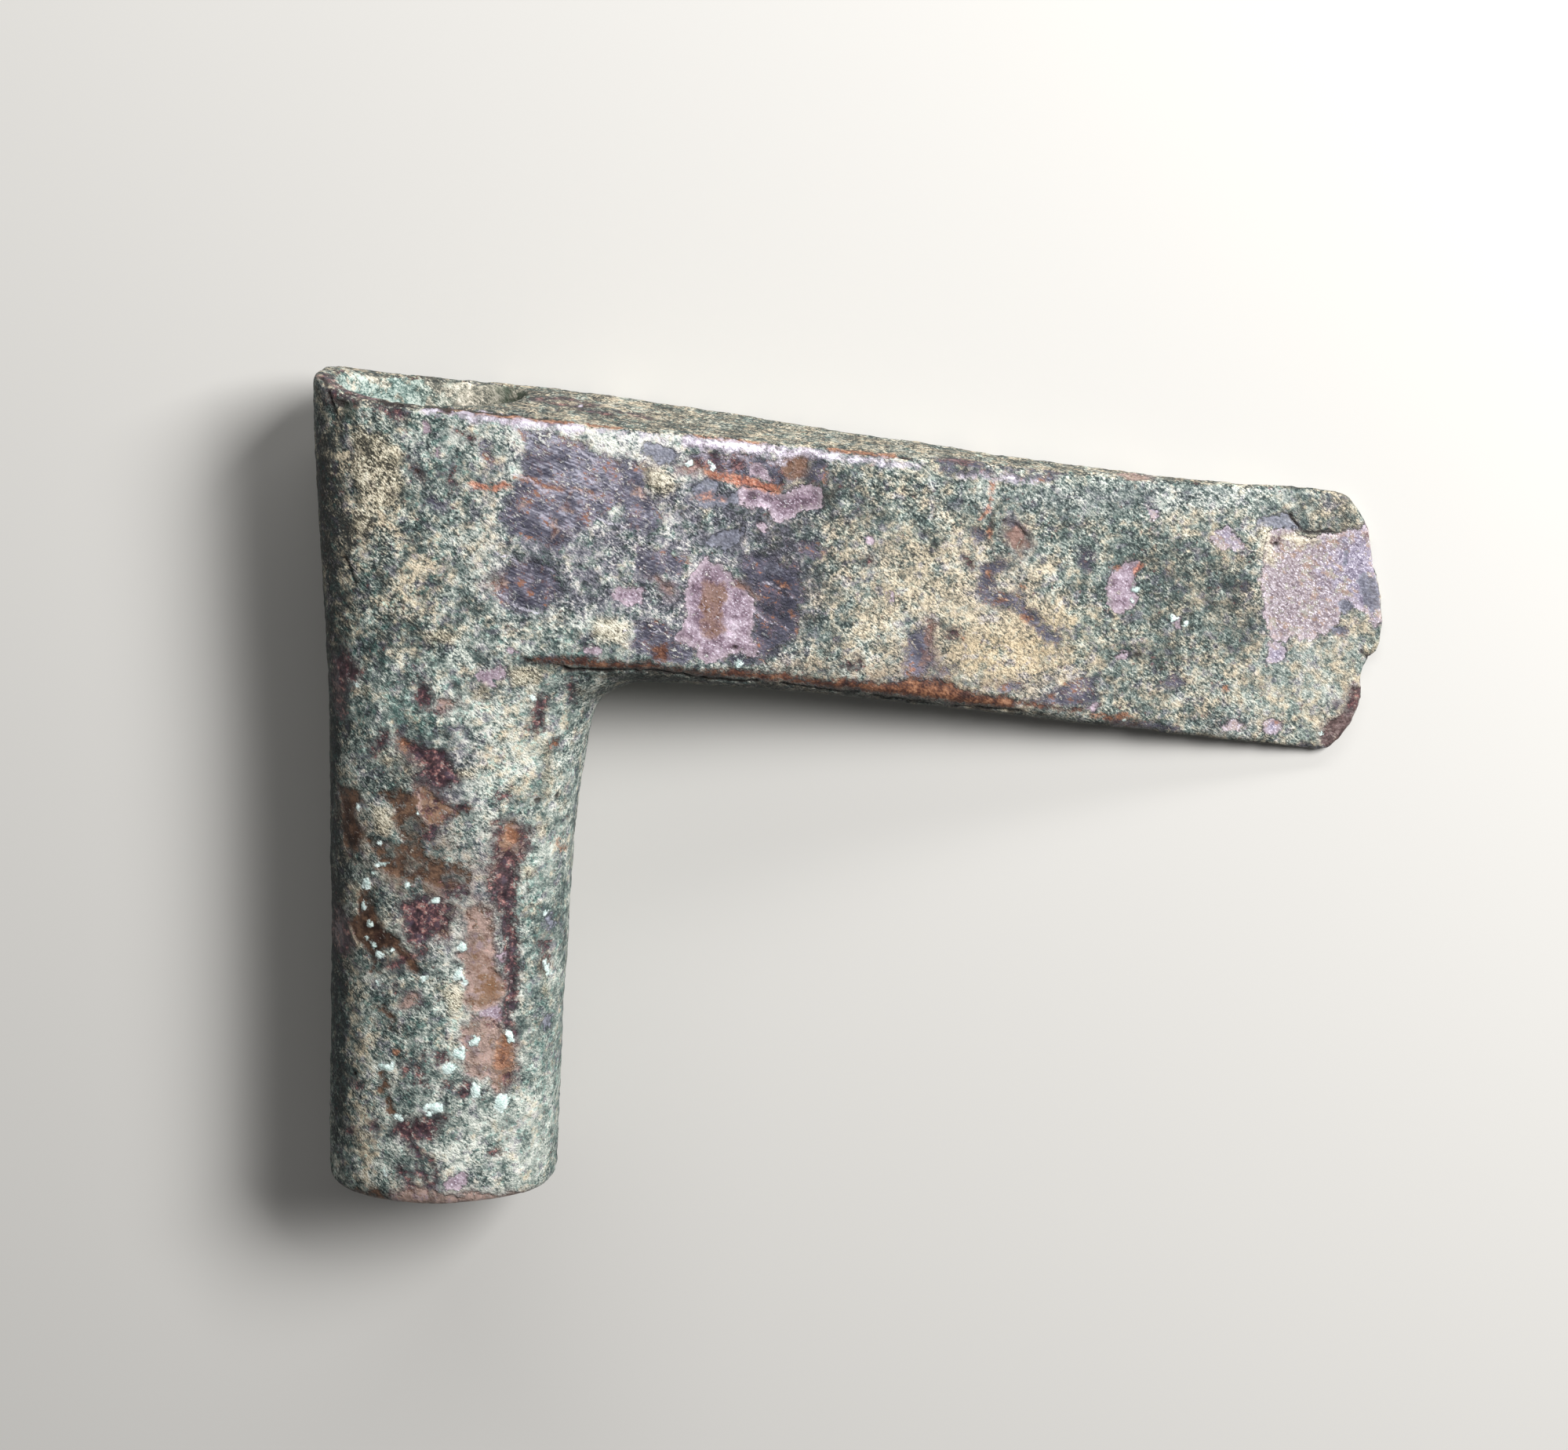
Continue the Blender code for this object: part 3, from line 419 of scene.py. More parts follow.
# Where it is tanned, and where it is sandy (above 0) or greyer.
TAN = [(84, 80, 8, 4.4, 1), (76, 79.6, 5, 3, 0.6), (90, 84, 5, 3, 0.4), (-4, 106, 3, 6, 0.5)]
SANDY = [
    (-10.5, 22, 2.4, 18, 0.6), (98, 101.5, 24, 2.4, -0.8), (12, 69, 4, 9, 0.4), (-4, 86, 7, 7, 0.4),
    (-13, 100, 3, 16, 0.8), (1, 93, 5, 5, 0.2), (66, 89, 10, 10, 0.4), (81, 82, 10, 7, 0.9),
    (-4, 104, 4, 9, 0.8), (88, 78, 5, 4, 0.4), (-7, 100, 3, 3, 0.8), (7.5, 106.8, 4, 2, 0.5),
    (0, 93, 2.4, 5, 0.4), (9, 98, 3.4, 4, 0.5), (33, 105, 3, 4, 0.4), (-12, 70, 3, 30, 0.4),
    (78, 91, 8, 6, 0.15), (-10, 8, 3, 6, 0.4), (112, 76, 10, 6, 0.1), (122, 72, 7, 6, -0.25),
    (-10, 103, 3, 12, 0.7), (94, 90, 7, 10, -0.55), (118, 97, 4, 2, -0.3), (127, 100.5, 5, 3, 0.6),
    (129, 80, 4, 5, 0.3), (0, 90, 5, 8, 0.2), (-6, 57, 2, 3, 0.5), (4, 32, 1.8, 5, 0.5),
    (3, 12, 12, 10, -0.3),
]

# Where the metal under the crust tints it, purple-grey or brown.
STAINED = [
    (98, 101.2, 20, 1.8, 0.45), (26, 100, 9, 7, 0.6), (36, 92, 9, 5, 0.5), (22, 94, 7, 4, 0.5),
    (34, 86, 6, 4, 0.5), (48, 92, 6, 9, 0.4), (21, 104, 9, 8, 1), (16, 92, 6, 5, 0.9), (30, 96, 6, 8, 0.9),
    (38, 98, 6, 6, 0.8), (48, 96, 5, 6, 0.7), (44, 105, 9, 5, 0.9), (24, 92, 8, 4, 0.6),
    (30, 86, 5, 4, 0.6), (40, 87, 7, 8, 0.7), (50, 88, 4, 8, 0.6), (34, 110, 6, 3, 0.6),
    (68, 80, 3, 4, 0.5), (79, 90, 4, 4, 0.4), (88, 74, 5, 3, 0.6), (122, 88, 7, 8, 0.5),
    (10, 78.5, 3, 3, 0.5), (6, 67.6, 2.4, 2.6, 1), (2, 42, 5, 5, 0.5), (7.4, 48.6, 2, 3, 0.9),
    (6, 54, 3, 3, 0.3), (4, 62, 3, 3, 0.6), (10, 38, 3, 14, 0.4), (112, 68.6, 4, 1.6, 0.5),
    (4, 4, 3, 2, 0.5), (62, 95, 2, 3, 0.3), (2, 109, 4, 3, 0.3),
]
UMBER = [
    (-3, 56, 6, 6, 0.7), (1, 51, 6, 4, 1), (3, 46, 4, 4, 0.5), (-2, 51, 5, 3, 0.7), (-4, 39, 5, 5, 0.4),
    (9, 25, 4, 5, 0.5), (-1, 12, 4, 3, 0.4), (10, 52, 3, 5, 0.5), (-10, 56, 2, 5, 0.5),
    (-2, 2.5, 9, 2.5, 0.6), (69, 78, 4, 3, 0.9), (62, 77, 5, 1.4, 0.6), (52, 78.6, 6, 1.2, 0.5),
    (78, 75, 4, 1.6, 0.6), (-3, 66, 3, 3, 0.3), (-10, 40, 3, 5, 0.5), (8, 44, 3, 5, 0.4),
    (-6, 17, 1.5, 4, 0.4), (128, 69, 3, 3, 0.4),
]

# Where it is even (above 0) or rougher, and where it is greener.
QUIET = [
    (17, 36, 3.4, 34, 1), (14, 70, 5, 8, 0.5), (-2, 74, 5, 3, 0.6), (24, 82, 10, 3, 0.4),
    (12, 10, 5, 10, 0.8), (120, 75, 10, 7, 1), (80, 82, 10, 7, 0.4), (105, 89, 12, 9, 0.4),
    (129, 80, 5, 6, 0.8), (126, 100, 6, 3, 0.6), (-6, 103, 5, 15, -1.2),
]
GREEN = [
    (11, 61, 4, 6, 0.4), (15, 40, 2, 12, 0.5), (13, 47, 2, 5, 0.8), (-3, 74, 5, 3, 0.8), (1, 26, 5, 8, 0.5),
    (-9, 84, 4, 8, 0.2), (4, 109, 4, 3, 0.6), (38, 99, 5, 3, 0.5), (4, 74, 4, 4, 0.5), (66, 100, 8, 5, 0.3),
    (16, 20, 3, 10, 0.6),
]

# Where copper turns to ochre, rust is brighter, lilac is bluer, and copper and brown have clear edges.
OCHRE = [
    (8.6, 32.2, 2.4, 2.6, 0.7), (2, 60, 3, 4, 1), (-2.4, 68.6, 2, 2, 1), (2, 43, 2, 3, 1),
    (10.6, 21, 1.4, 5, 1), (11.5, 55, 2, 2.4, 1), (51.5, 106.5, 3, 3, 1), (40, 87, 1.6, 4, 0.1),
]
RUDDY = [(44, 105, 7, 2.6, 1), (78, 101, 2, 4, 0.5), (11, 105, 6, 1.5, 0.8), (98.6, 91.4, 1.5, 1.5, 1)]
VIOLET = [
    (130, 90, 4, 9, 1.2), (118.3, 78.6, 2, 2.4, 1.2), (111, 95.6, 3, 2.4, 0.9), (118, 68.3, 2, 1.6, 0.8),
    (100.6, 98.7, 2, 2, 1), (124, 91, 2, 6, 0.4),
]
CRISP = [(-10, 57, 3, 6, 1.3), (-7, 42, 4, 5, 1.3), (-2.6, 37, 3, 3, 1.3), (8, 35, 3.4, 8, 1.2)]

# The places on the blade's narrow top face and round the mouth, seen from above: x and y.
TOP_WINE = spots((73, -4, 2, 1), (30.4, -1.2, 1.2, 0.8), (16.4, 2.2, 0.8, 1.2)) + streaks(
    (1.2, 17.6, 4, 19, 4.8, 20.6, 4.4), (1.4, 18.6, 1, 21, 0.4, 23, 1.4), (1, 21.6, 3.6, 24.4, 3),
    (1, 22.4, -1.4, 26, -1.8), (0.7, 27, 0.8, 29.6, 0.4),
    (1.8, -12.2, -2.6, -11.2, -5, -9.4, -7.4, -7, -8.8), (1.2, -7, -8.8, -4, -10),
)
TOP_STEEL = streaks((0.9, 56, -7.2, 62, -6.5), (1.2, 70.6, -5.2, 76, -4.6), (0.8, 80, -4.1, 88, -3.2))
TOP_COPPER = spots((98, -1, 1.6, 1.2))
# The worn upper arris on the top face, painted pale as a highlight too.
TOP_POLISH_AND_HIGHLIGHT = streaks((0.5, 8, -11.9, 14, -12, 22, -12.1), (0.4, 37, -10.2, 44, -9.3, 52, -8.1))
TOP_RUST = spots((64, -5.9, 1.4, 1.2)) + streaks(
    (1.3, 4, -11, 9, -11.2, 13.4, -11.3, 18.5, -11.4, 21.4, -11.6), (1, 24, -11, 28, -10.6),
    (0.8, 38, -9.4, 47, -8.2), (0.8, 56, -6.8, 62, -6),
)
TOP_PITS = spots(
    (-8.4, -8.6, 1.3, 0.9), (22.4, 1.6, 0.8, 1), (25.4, -2.4, 1, 0.5),
    (19.4, -3.4, 0.7, 0.6),
) + streaks(
    (1.5, -4, -10, 2, -10.3, 8, -10.4, 12, -10.4), (0.9, 12, -10.4, 18, -10.4),
    (0.8, 65.4, -5.4, 67.4, -5.4), (0.8, -12.6, -3, -11.8, -7),
)

# The places on the back face, which the front doesn't show: seen from the front, x and z.
BACK_STEEL = areas((22, 108, 30, 106, 33, 100, 28, 96, 21, 99, 19, 104)) + spots(
    (60, 92, 4, 3, 20), (108, 80, 3, 2, -15), (4, 88, 3, 5, 10), (88, 98, 3, 1.6),
)
BACK_LILAC = areas((44, 96, 49, 95, 51, 90, 48, 85, 43, 86, 41, 91)) + spots(
    (76, 84, 2.4, 3.2, 30), (118, 90, 3, 4, 15), (20, 90, 1.4, 1.8),
)
BACK_COPPER = areas((-4, 60, 1, 63, 5, 58, 3, 50, -2, 44, -5, 50)) + spots(
    (8, 30, 2.4, 5, -10), (-6, 22, 1.6, 4), (66, 100, 1.6, 1),
) + streaks((1.2, 22, 80.4, 46, 77.6, 70, 73.6, 92, 69.8))
BACK_WINE = spots((10, 52, 1.4, 3, 15), (-8, 70, 1.6, 2.4), (2, 12, 3, 1.6, 20), (34, 88, 1.4, 1))
BACK_PEARL = spots((4, 40, 0.8), (-3, 32, 0.7, 0.9), (9, 18, 0.9), (-7, 48, 0.6), (54, 84, 0.6))

# A groove down the socket, beside the long copper plate.
GROOVE = streaks((1.5, 12.3, 56.5, 11.6, 52, 11.2, 47, 11.3, 42, 11.6, 37, 11.8, 33, 11.2, 29.5))

# Every family of places: those on the front face, on the top face and round the mouth, and on the back.
FAMILIES = {
    "steel": (STEEL, TOP_STEEL, BACK_STEEL),
    "bluish": (BLUISH,),
    "lilac": (LILAC, (), BACK_LILAC),
    "copper": (COPPER, TOP_COPPER, BACK_COPPER),
    "ridge": (RIDGE,),
    "polish_and_highlight": (POLISH_AND_HIGHLIGHT, TOP_POLISH_AND_HIGHLIGHT),
    "scratches": (SCRATCHES,),
    "brown": (BROWN,),
    "wine": (WINE, TOP_WINE, BACK_WINE),
    "rust": (RUST, TOP_RUST),
    "pearl": (PEARL, (), BACK_PEARL),
    "cream": (CREAM,),
    "pits": (PITS_AND_LEDGE_SHADE, TOP_PITS),
}

# The blots that the material reads as shares: those from 0 to 1, and those from -1 to 1.
SHARES = {
    "tan": TAN, "stained": STAINED, "umber": UMBER, "green": GREEN, "ochre": OCHRE, "ruddy": RUDDY,
    "violet_edge": VIOLET, "crisp": CRISP,
}
SIGNED_SHARES = {"sandy": SANDY, "quiet": QUIET}


# ---------------------------------------------------------------- distances to outlines

def segment_distance(u, v, start, end):
    """Distance to one straight stretch of an outline."""
    (x0, y0), (x1, y1) = start, end
    ex, ey = x1 - x0, y1 - y0
    along = np.clip(((u - x0) * ex + (v - y0) * ey) / (ex * ex + ey * ey), 0, 1)
    return np.hypot(u - x0 - along * ex, v - y0 - along * ey)


def polygon_distance(u, v, points):
    """Signed distance to a closed outline, positive inside."""
    nearest = np.full(u.shape, np.inf)
    inside = np.zeros(u.shape, bool)
    for start, end in zip(points, np.roll(points, -1, axis=0)):
        nearest = np.minimum(nearest, segment_distance(u, v, start, end))
        (x0, y0), (x1, y1) = start, end
        crosses = (y0 > v) != (y1 > v)
        height = (y1 - y0) or 1.0
        inside ^= crosses & (u < x0 + (v - y0) * (x1 - x0) / height)
    return np.where(inside, nearest, -nearest)


def oval_distance(u, v, points, turn):
    """Signed distance to an oval: exact for a circle, and near enough for the others."""
    (x, z), (half_width, half_height) = points
    c, s = math.cos(turn), math.sin(turn)
    a = ((u - x) * c + (v - z) * s) / half_width
    b = ((v - z) * c - (u - x) * s) / half_height
    return (1 - np.hypot(a, b)) * min(half_width, half_height)


def line_distance(u, v, points, width):
    """Signed distance to the edge of a line that is as wide as width."""
    pieces = [segment_distance(u, v, start, end) for start, end in zip(points, points[1:])]
    return width / 2 - np.minimum.reduce(pieces)


def field(shapes, u, v):
    """Distance in millimetres to the nearest edge: positive inside an outline, -EDGE_REACH far outside."""
    best = np.full(u.shape, -EDGE_REACH)
    for kind, points, size in shapes:
        if kind == "oval":
            low, high = points[0] - points[1].max(), points[0] + points[1].max()
        else:
            low, high = points.min(0) - size, points.max(0) + size
        low, high = low - EDGE_REACH, high + EDGE_REACH
        near = np.nonzero((u > low[0]) & (u < high[0]) & (v > low[1]) & (v < high[1]))[0]
        if not len(near):
            continue
        if kind == "area":
            found = polygon_distance(u[near], v[near], points)
        elif kind == "oval":
            found = oval_distance(u[near], v[near], points, size)
        else:
            found = line_distance(u[near], v[near], points, size)
        best[near] = np.maximum(best[near], found)
    return best


def blots(places, u, v):
    """The sum of soft oval blots at every point."""
    total = np.zeros(u.shape)
    for x, z, half_width, half_height, strength in places:
        total += strength * np.exp(-(((u - x) / half_width) ** 2 + ((v - z) / half_height) ** 2))
    return total


# ---------------------------------------------------------------- noise

def noise(points, size, seed):
    """Gradient noise from about -1 to 1, whose lumps are about as wide as size."""
    rng = np.random.default_rng(seed)
    order = np.concatenate([rng.permutation(256)] * 2)
    slopes = rng.normal(size=(256, 3))
    slopes /= np.linalg.norm(slopes, axis=1)[:, None]
    scaled = points / size + rng.uniform(0, 64, 3)
    cell = np.floor(scaled).astype(int)
    part = scaled - cell
    fade = part**3 * (part * (part * 6 - 15) + 10)
    cell &= 255
    total = np.zeros(len(points))
    for dx, dy, dz in np.ndindex(2, 2, 2):
        corner = order[(cell[:, 0] + dx) & 255]
        corner = order[(corner + cell[:, 1] + dy) & 255]
        corner = order[(corner + cell[:, 2] + dz) & 255]
        value = np.einsum("ij,ij->i", slopes[corner], part - (dx, dy, dz))
        weight = np.abs(1 - dx - fade[:, 0]) * np.abs(1 - dy - fade[:, 1]) * np.abs(1 - dz - fade[:, 2])
        total += value * weight
    return total * 1.6


def layered_noise(points, size, seed):
    """Noise with a finer layer over it, half as wide and half as strong."""
    return noise(points, size, seed) + noise(points, size / 2, seed + 1) / 2


def smoothstep(low, high, value):
    t = np.clip((value - low) / (high - low), 0, 1)
    return t * t * (3 - 2 * t)


# ---------------------------------------------------------------- frames

def turn_upright(vectors):
    """Row-frame directions to upright ones."""
    x, y, z = vectors.T
    c, s = math.cos(TILT), math.sin(TILT)
    return np.stack([x * c - z * s, -x * s - z * c, y], axis=1)


def to_upright(points):
    """Row-frame metres to upright millimetres."""
    return turn_upright(points / MM) + BOX_MIDDLE


def turn_lying(direction):
    """One upright direction to the row frame."""
    x, y, z = direction
    c, s = math.cos(TILT), math.sin(TILT)
    return Vector((x * c - y * s, z, -x * s - y * c))


def to_lying(point):
    """One upright point, in millimetres, to the row frame in metres."""
    return turn_lying((np.array(point) - BOX_MIDDLE) * MM)


# ---------------------------------------------------------------- mesh

def positions(mesh):
    """The vertices' places in the row frame, one row each."""
    flat = np.empty(len(mesh.vertices) * 3, np.float32)
    mesh.vertices.foreach_get("co", flat)
    return flat.reshape(-1, 3).astype(float)


def normals(mesh):
    flat = np.empty(len(mesh.vertices) * 3, np.float32)
    mesh.vertex_normals.foreach_get("vector", flat)
    return flat.reshape(-1, 3).astype(float)


def place(mesh, points):
    """Moves the vertices to these points."""
    mesh.vertices.foreach_set("co", points.astype(np.float32).ravel())
    mesh.update()


def bake_modifiers(piece):
    """Puts the mesh that the modifiers give in the place of the one they work on."""
    graph = bpy.context.evaluated_depsgraph_get()
    mesh = bpy.data.meshes.new_from_object(piece.evaluated_get(graph))
    piece.modifiers.clear()
    piece.data = mesh


def relax(mesh, passes, share):
    """Wears edges round: each vertex moves towards its neighbours' mean, by its share."""
    edges = np.empty(len(mesh.edges) * 2, np.int32)
    mesh.edges.foreach_get("vertices", edges)
    a, b = edges.reshape(-1, 2).T
    points = positions(mesh)
    count = np.bincount(a, minlength=len(points)) + np.bincount(b, minlength=len(points))
    for _ in range(passes):
        for axis in range(3):
            value = points[:, axis]
            total = np.bincount(a, value[b], len(points)) + np.bincount(b, value[a], len(points))
            points[:, axis] += share * (total / count - value)
    place(mesh, points)


class Surface:
    """Where each vertex lies on the head, and which places of the patina reach it."""

    def __init__(self, mesh):
        self.p = to_upright(positions(mesh))
        self.n = turn_upright(normals(mesh))
        x, y, z = self.p.T
        foot, top = SOCKET_MIDDLE
        from_axis = x - (foot + (top - foot) * np.clip(z / BLADE_HEIGHT, 0, 1))
        outward = self.n[:, 0] * from_axis + self.n[:, 1] * y
        in_tube = (np.abs(from_axis) < BORE_REACH[0]) & (np.abs(y) < BORE_REACH[1]) & (z < MOUTH_RIM)
        self.bore = in_tube & (outward < 0.02) & (np.abs(self.n[:, 2]) < 0.85)
        side = (1 - smoothstep(0.84, 0.95, self.n[:, 2])) * ~self.bore
        self.front = smoothstep(-0.05, 0.1, -self.n[:, 1]) * side
        self.back = smoothstep(-0.05, 0.1, self.n[:, 1]) * side
        self.top = smoothstep(0.55, 0.8, self.n[:, 2]) * ~self.bore
        # Coordinates that wobble, so that outlines come out ragged.
        along = self.wobble(11)
        across = self.wobble(13)
        self.u = x + along
        self.v = z + across
        self.w = y + across

    def wobble(self, seed):
        return 0.45 * noise(self.p, 2.6, seed) + 0.22 * noise(self.p, 1.1, seed + 1)

    def places(self, front, top=(), back=()):
        """The field of one family of places, each drawn on its own face of the head."""
        found = self.masked(field(front, self.u, self.v), self.front)
        if top:
            found = np.maximum(found, self.masked(field(top, self.u, self.w), self.top))
        if back:
            found = np.maximum(found, self.masked(field(back, self.u, self.v), self.back))
        return found

    def masked(self, distance, share):
        return np.minimum(distance, (share - 0.5) * 2 * EDGE_REACH)


def patina_fields(s):
    """The fields of every family of places, by the name that the material reads."""
    return {name: s.places(*shapes) for name, shapes in FAMILIES.items()}


def relief(s, fields):
    """How far each vertex stands out or in, in millimetres."""
    bare = np.zeros(len(s.p))
    out = np.zeros(len(s.p))
    for name, depth in BARE_DEPTHS.items():
        cover = smoothstep(-0.2, 0.2, fields[name])
        bare = np.maximum(bare, cover)
        out = np.minimum(out, -cover * depth)
    rough = 1 - (1 - SMOOTH_SHARE) * bare
    out += SWELL * noise(s.p, 13, 21) + LUMPS * layered_noise(s.p, 4.5, 22) * (0.4 + 0.6 * rough)
    out += GRAINS * layered_noise(s.p, 1.5, 25) * rough
    out -= WINE_DEPTH * smoothstep(-0.3, 0.4, fields["wine"]) * (0.7 + 0.6 * noise(s.p, 0.9, 31))
    out -= RUST_DEPTH * smoothstep(-0.2, 0.2, fields["rust"])
    out -= PIT_DEPTH * smoothstep(-0.15, 0.25, fields["pits"])
    out += PEARL_HEIGHT * smoothstep(-0.1, 0.5, fields["pearl"])
    out += CREAM_HEIGHT * smoothstep(-0.3, 0.5, fields["cream"])
    out -= GROOVE_DEPTH * smoothstep(-0.7, 0.5, s.places(GROOVE))
    return out


def thin_out(piece, s):
    """Brings the mesh under its limit of triangles, and keeps most of them where the head is seen."""
    spare = np.clip(1 - np.maximum(s.front, s.top) + s.bore, 0, 1)
    levels = np.round(spare * SPARE_LEVELS).astype(int)
    group = piece.vertex_groups.new(name="spare")
    for level in range(SPARE_LEVELS + 1):
        group.add(np.nonzero(levels == level)[0].tolist(), 0.1 + 0.9 * level / SPARE_LEVELS, "REPLACE")
    count = sum(len(f.vertices) - 2 for f in piece.data.polygons)
    thin = piece.modifiers.new("thin", "DECIMATE")
    thin.ratio = TRIANGLES / count
    thin.vertex_group = group.name
    thin.vertex_group_factor = THINNING
    bake_modifiers(piece)
    piece.vertex_groups.clear()


def above_ground(points):
    """Raises points that lie under the ground to its level."""
    points[:, 2] = np.maximum(points[:, 2], 0)
    return points


def store_fields(mesh, s):
    """Stores on the mesh every value that the material reads."""
    x, y, z = s.p.T
    values = patina_fields(s)
    for name, places in SHARES.items():
        values[name] = np.clip(blots(places, x, z), 0, 1) * s.front
    for name, places in SIGNED_SHARES.items():
        values[name] = np.clip(blots(places, x, z), -1, 1) * s.front
    # The crust's tone, with painted shade at the socket's edges and a painted sheen along the upper arris.
    values["tone"] = blots(TONE_AND_PAINTED_LIGHT, x, z) * s.front
    values["even"] = np.maximum(values["sandy"], 0) * smoothstep(40, 60, x)
    # Painted shade: the faces that look down, under the blade, are darkened in the colour.
    values["below"] = smoothstep(0.2, 0.75, -s.n[:, 2]) * (x > 20)
    values["top"] = s.top
    values["blade"] = smoothstep(26, 58, x) * (1 - s.top)
    small_flake = smoothstep(3.5, 2.0, np.hypot(x - 100.6, z - 98.7))
    values["violet"] = np.maximum(smoothstep(105, 109, x), small_flake)
    values["bore"] = s.bore.astype(float)
    values["mouth"] = smoothstep(96, 113, z) * s.bore
    values["mouth_green"] = values["mouth"] * smoothstep(7, -3, x)
    # Painted shade: the far end of the mouth's inner wall.
    values["mouth_far_shade"] = values["mouth"] * smoothstep(7.5, 11.5, x)
    values["oval"] = smoothstep(1.6, 0.9, np.hypot((x + 8) / 0.8, z - 114.9)) * s.front
    for name, value in values.items():
        layer = mesh.attributes.new(name, "FLOAT", "POINT")
        layer.data.foreach_set("value", value.astype(np.float32))


def build_casting(node):
    """The casting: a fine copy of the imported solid's mesh, worn, in relief, with its fields stored on it."""
    piece = bpy.data.objects.new("bronze_casting", node.data.copy())
    bpy.context.scene.collection.objects.link(piece)
    piece.data.materials.clear()
    remesh = piece.modifiers.new("remesh", "REMESH")
    remesh.mode = "VOXEL"
    remesh.voxel_size = VOXEL * MM
    bake_modifiers(piece)

    # Edges wear round, but the cutting edge keeps its notches.
    x = to_upright(positions(piece.data))[:, 0]
    relax(piece.data, WEAR_PASSES, 0.5 * (1 - 0.75 * smoothstep(*WEAR_FADES, x)))

    s = Surface(piece.data)
    moves = relief(s, patina_fields(s)) * MM
    place(piece.data, above_ground(positions(piece.data) + normals(piece.data) * moves[:, None]))
    thin_out(piece, s)
    place(piece.data, above_ground(positions(piece.data)))
    store_fields(piece.data, Surface(piece.data))
    piece.data.shade_smooth()
    return piece


# ---------------------------------------------------------------- material

# How far the grain, the mottles and the scratches slant in the plane of the front face, in degrees.
GRAIN_SLANT = -40
MOTTLE_SLANT = -65
SCRATCH_SLANT = -24
CROSS_SCRATCH_SLANT = 20


def rgb(red, green, blue):
    """A display colour, 0 to 255, as the linear colour that a shader takes."""
    def linear(value):
        value /= 255
        return value / 12.92 if value <= 0.04045 else ((value + 0.055) / 1.055) ** 2.4
    return linear(red), linear(green), linear(blue), 1.0


class Value:
    """A node's output, which adds and multiplies like a number. Each sum adds a node to the recipe."""

    def __init__(self, recipe, socket):
        self.recipe = recipe
        self.socket = socket

    def __add__(self, other):
        return self.recipe.math("ADD", self, other)

    def __radd__(self, other):
        return self.recipe.math("ADD", other, self)

    def __sub__(self, other):
        return self.recipe.math("SUBTRACT", self, other)

    def __rsub__(self, other):
        return self.recipe.math("SUBTRACT", other, self)

    def __mul__(self, other):
        return self.recipe.math("MULTIPLY", self, other)


class Recipe:
    """Builds a material. Most methods add a node and return its output as a Value."""

    def __init__(self, name):
        self.material = bpy.data.materials.new(name)
        self.material.use_nodes = True
        self.tree = self.material.node_tree
        self.inputs = self.tree.nodes["Principled BSDF"].inputs
        self.place = self.add("ShaderNodeTexCoord", {}, "Object")

    def add(self, kind, inputs, output, **settings):
        """Adds a node with these settings and inputs, and gives the output asked for."""
        node = self.tree.nodes.new(kind)
        for name, value in settings.items():
            setattr(node, name, value)
        for key, value in inputs.items():
            self.feed(node.inputs[key], value)
        return Value(self, node.outputs[output])

    def feed(self, socket, value):
        """Links an input to a Value, or sets it to a plain number or colour."""
        if isinstance(value, Value):
            self.tree.links.new(value.socket, socket)
        else:
            socket.default_value = value

    def stored(self, name):
        """A value that store_fields has put on the mesh."""
        return self.add("ShaderNodeAttribute", {}, "Fac", attribute_name=name)

    def stretched(self, along, across, degrees):
        """Coordinates in which lumps are longer by along / across, at a slant in the front face's plane."""
        turn = {"Vector": self.place, "Angle": math.radians(-degrees)}
        turned = self.add("ShaderNodeVectorRotate", turn, "Vector", rotation_type="Z_AXIS")
        scale = {0: turned, 1: (across / along, 1.0, 1.0)}
        return self.add("ShaderNodeVectorMath", scale, 0, operation="MULTIPLY")

    def noise(self, size, detail=3.0, roughness=0.6, at=None, shift=0.0):
        """Noise from 0 to 1 about 0.5, whose widest lumps measure about size, in millimetres."""
        where = at or self.place
        if shift:
            where = self.add("ShaderNodeVectorMath", {0: where, 1: (shift,) * 3}, 0, operation="ADD")
        inputs = {"Vector": where, "Scale": 1 / (size * MM), "Detail": detail, "Roughness": roughness}
        return self.add("ShaderNodeTexNoise", inputs, "Fac")

    def math(self, operation, a, b=0.0, clamp=False):
        return self.add("ShaderNodeMath", {0: a, 1: b}, 0, operation=operation, use_clamp=clamp)

    def largest(self, first, *others):
        for other in others:
            first = self.math("MAXIMUM", first, other)
        return first

    def step(self, value, low, high, start=0.0, end=1.0):
        """Rises smoothly from start to end, while value goes from low to high."""
        inputs = {"Value": value, "From Min": low, "From Max": high, "To Min": start, "To Max": end}
        return self.add("ShaderNodeMapRange", inputs, "Result", interpolation_type="SMOOTHSTEP")

    def mix(self, share, first, second, blend="MIX"):
        """Mixes two colours. The node's inputs 6 and 7, and its output 2, are those for colours."""
        inputs = {0: share, 6: first, 7: second}
        return self.add("ShaderNodeMix", inputs, 2, data_type="RGBA", blend_type=blend)

    def blend(self, share, first, second):
        """Mixes two numbers. The node's inputs 2 and 3, and its output 0, are those for numbers."""
        return self.add("ShaderNodeMix", {0: share, 2: first, 3: second}, 0, data_type="FLOAT")

    def ramp(self, value, *stops):
        """A colour for every value: each stop is a value, then a display colour's red, green and blue."""
        ramp = self.add("ShaderNodeValToRGB", {"Fac": value}, "Color")
        elements = ramp.socket.node.color_ramp.elements
        for element, (position, *colour) in zip(elements, (stops[0], stops[-1])):
            element.position = position
            element.color = rgb(*colour)
        for position, *colour in stops[1:-1]:
            elements.new(position).color = rgb(*colour)
        return ramp

    def bump(self, height, distance):
        inputs = {"Height": height, "Distance": distance * MM, "Strength": 1.0}
        return self.add("ShaderNodeBump", inputs, "Normal")


def swing(noise, gain):
    """A noise's swing about its middle, made stronger or weaker."""
    return (noise - 0.5) * gain


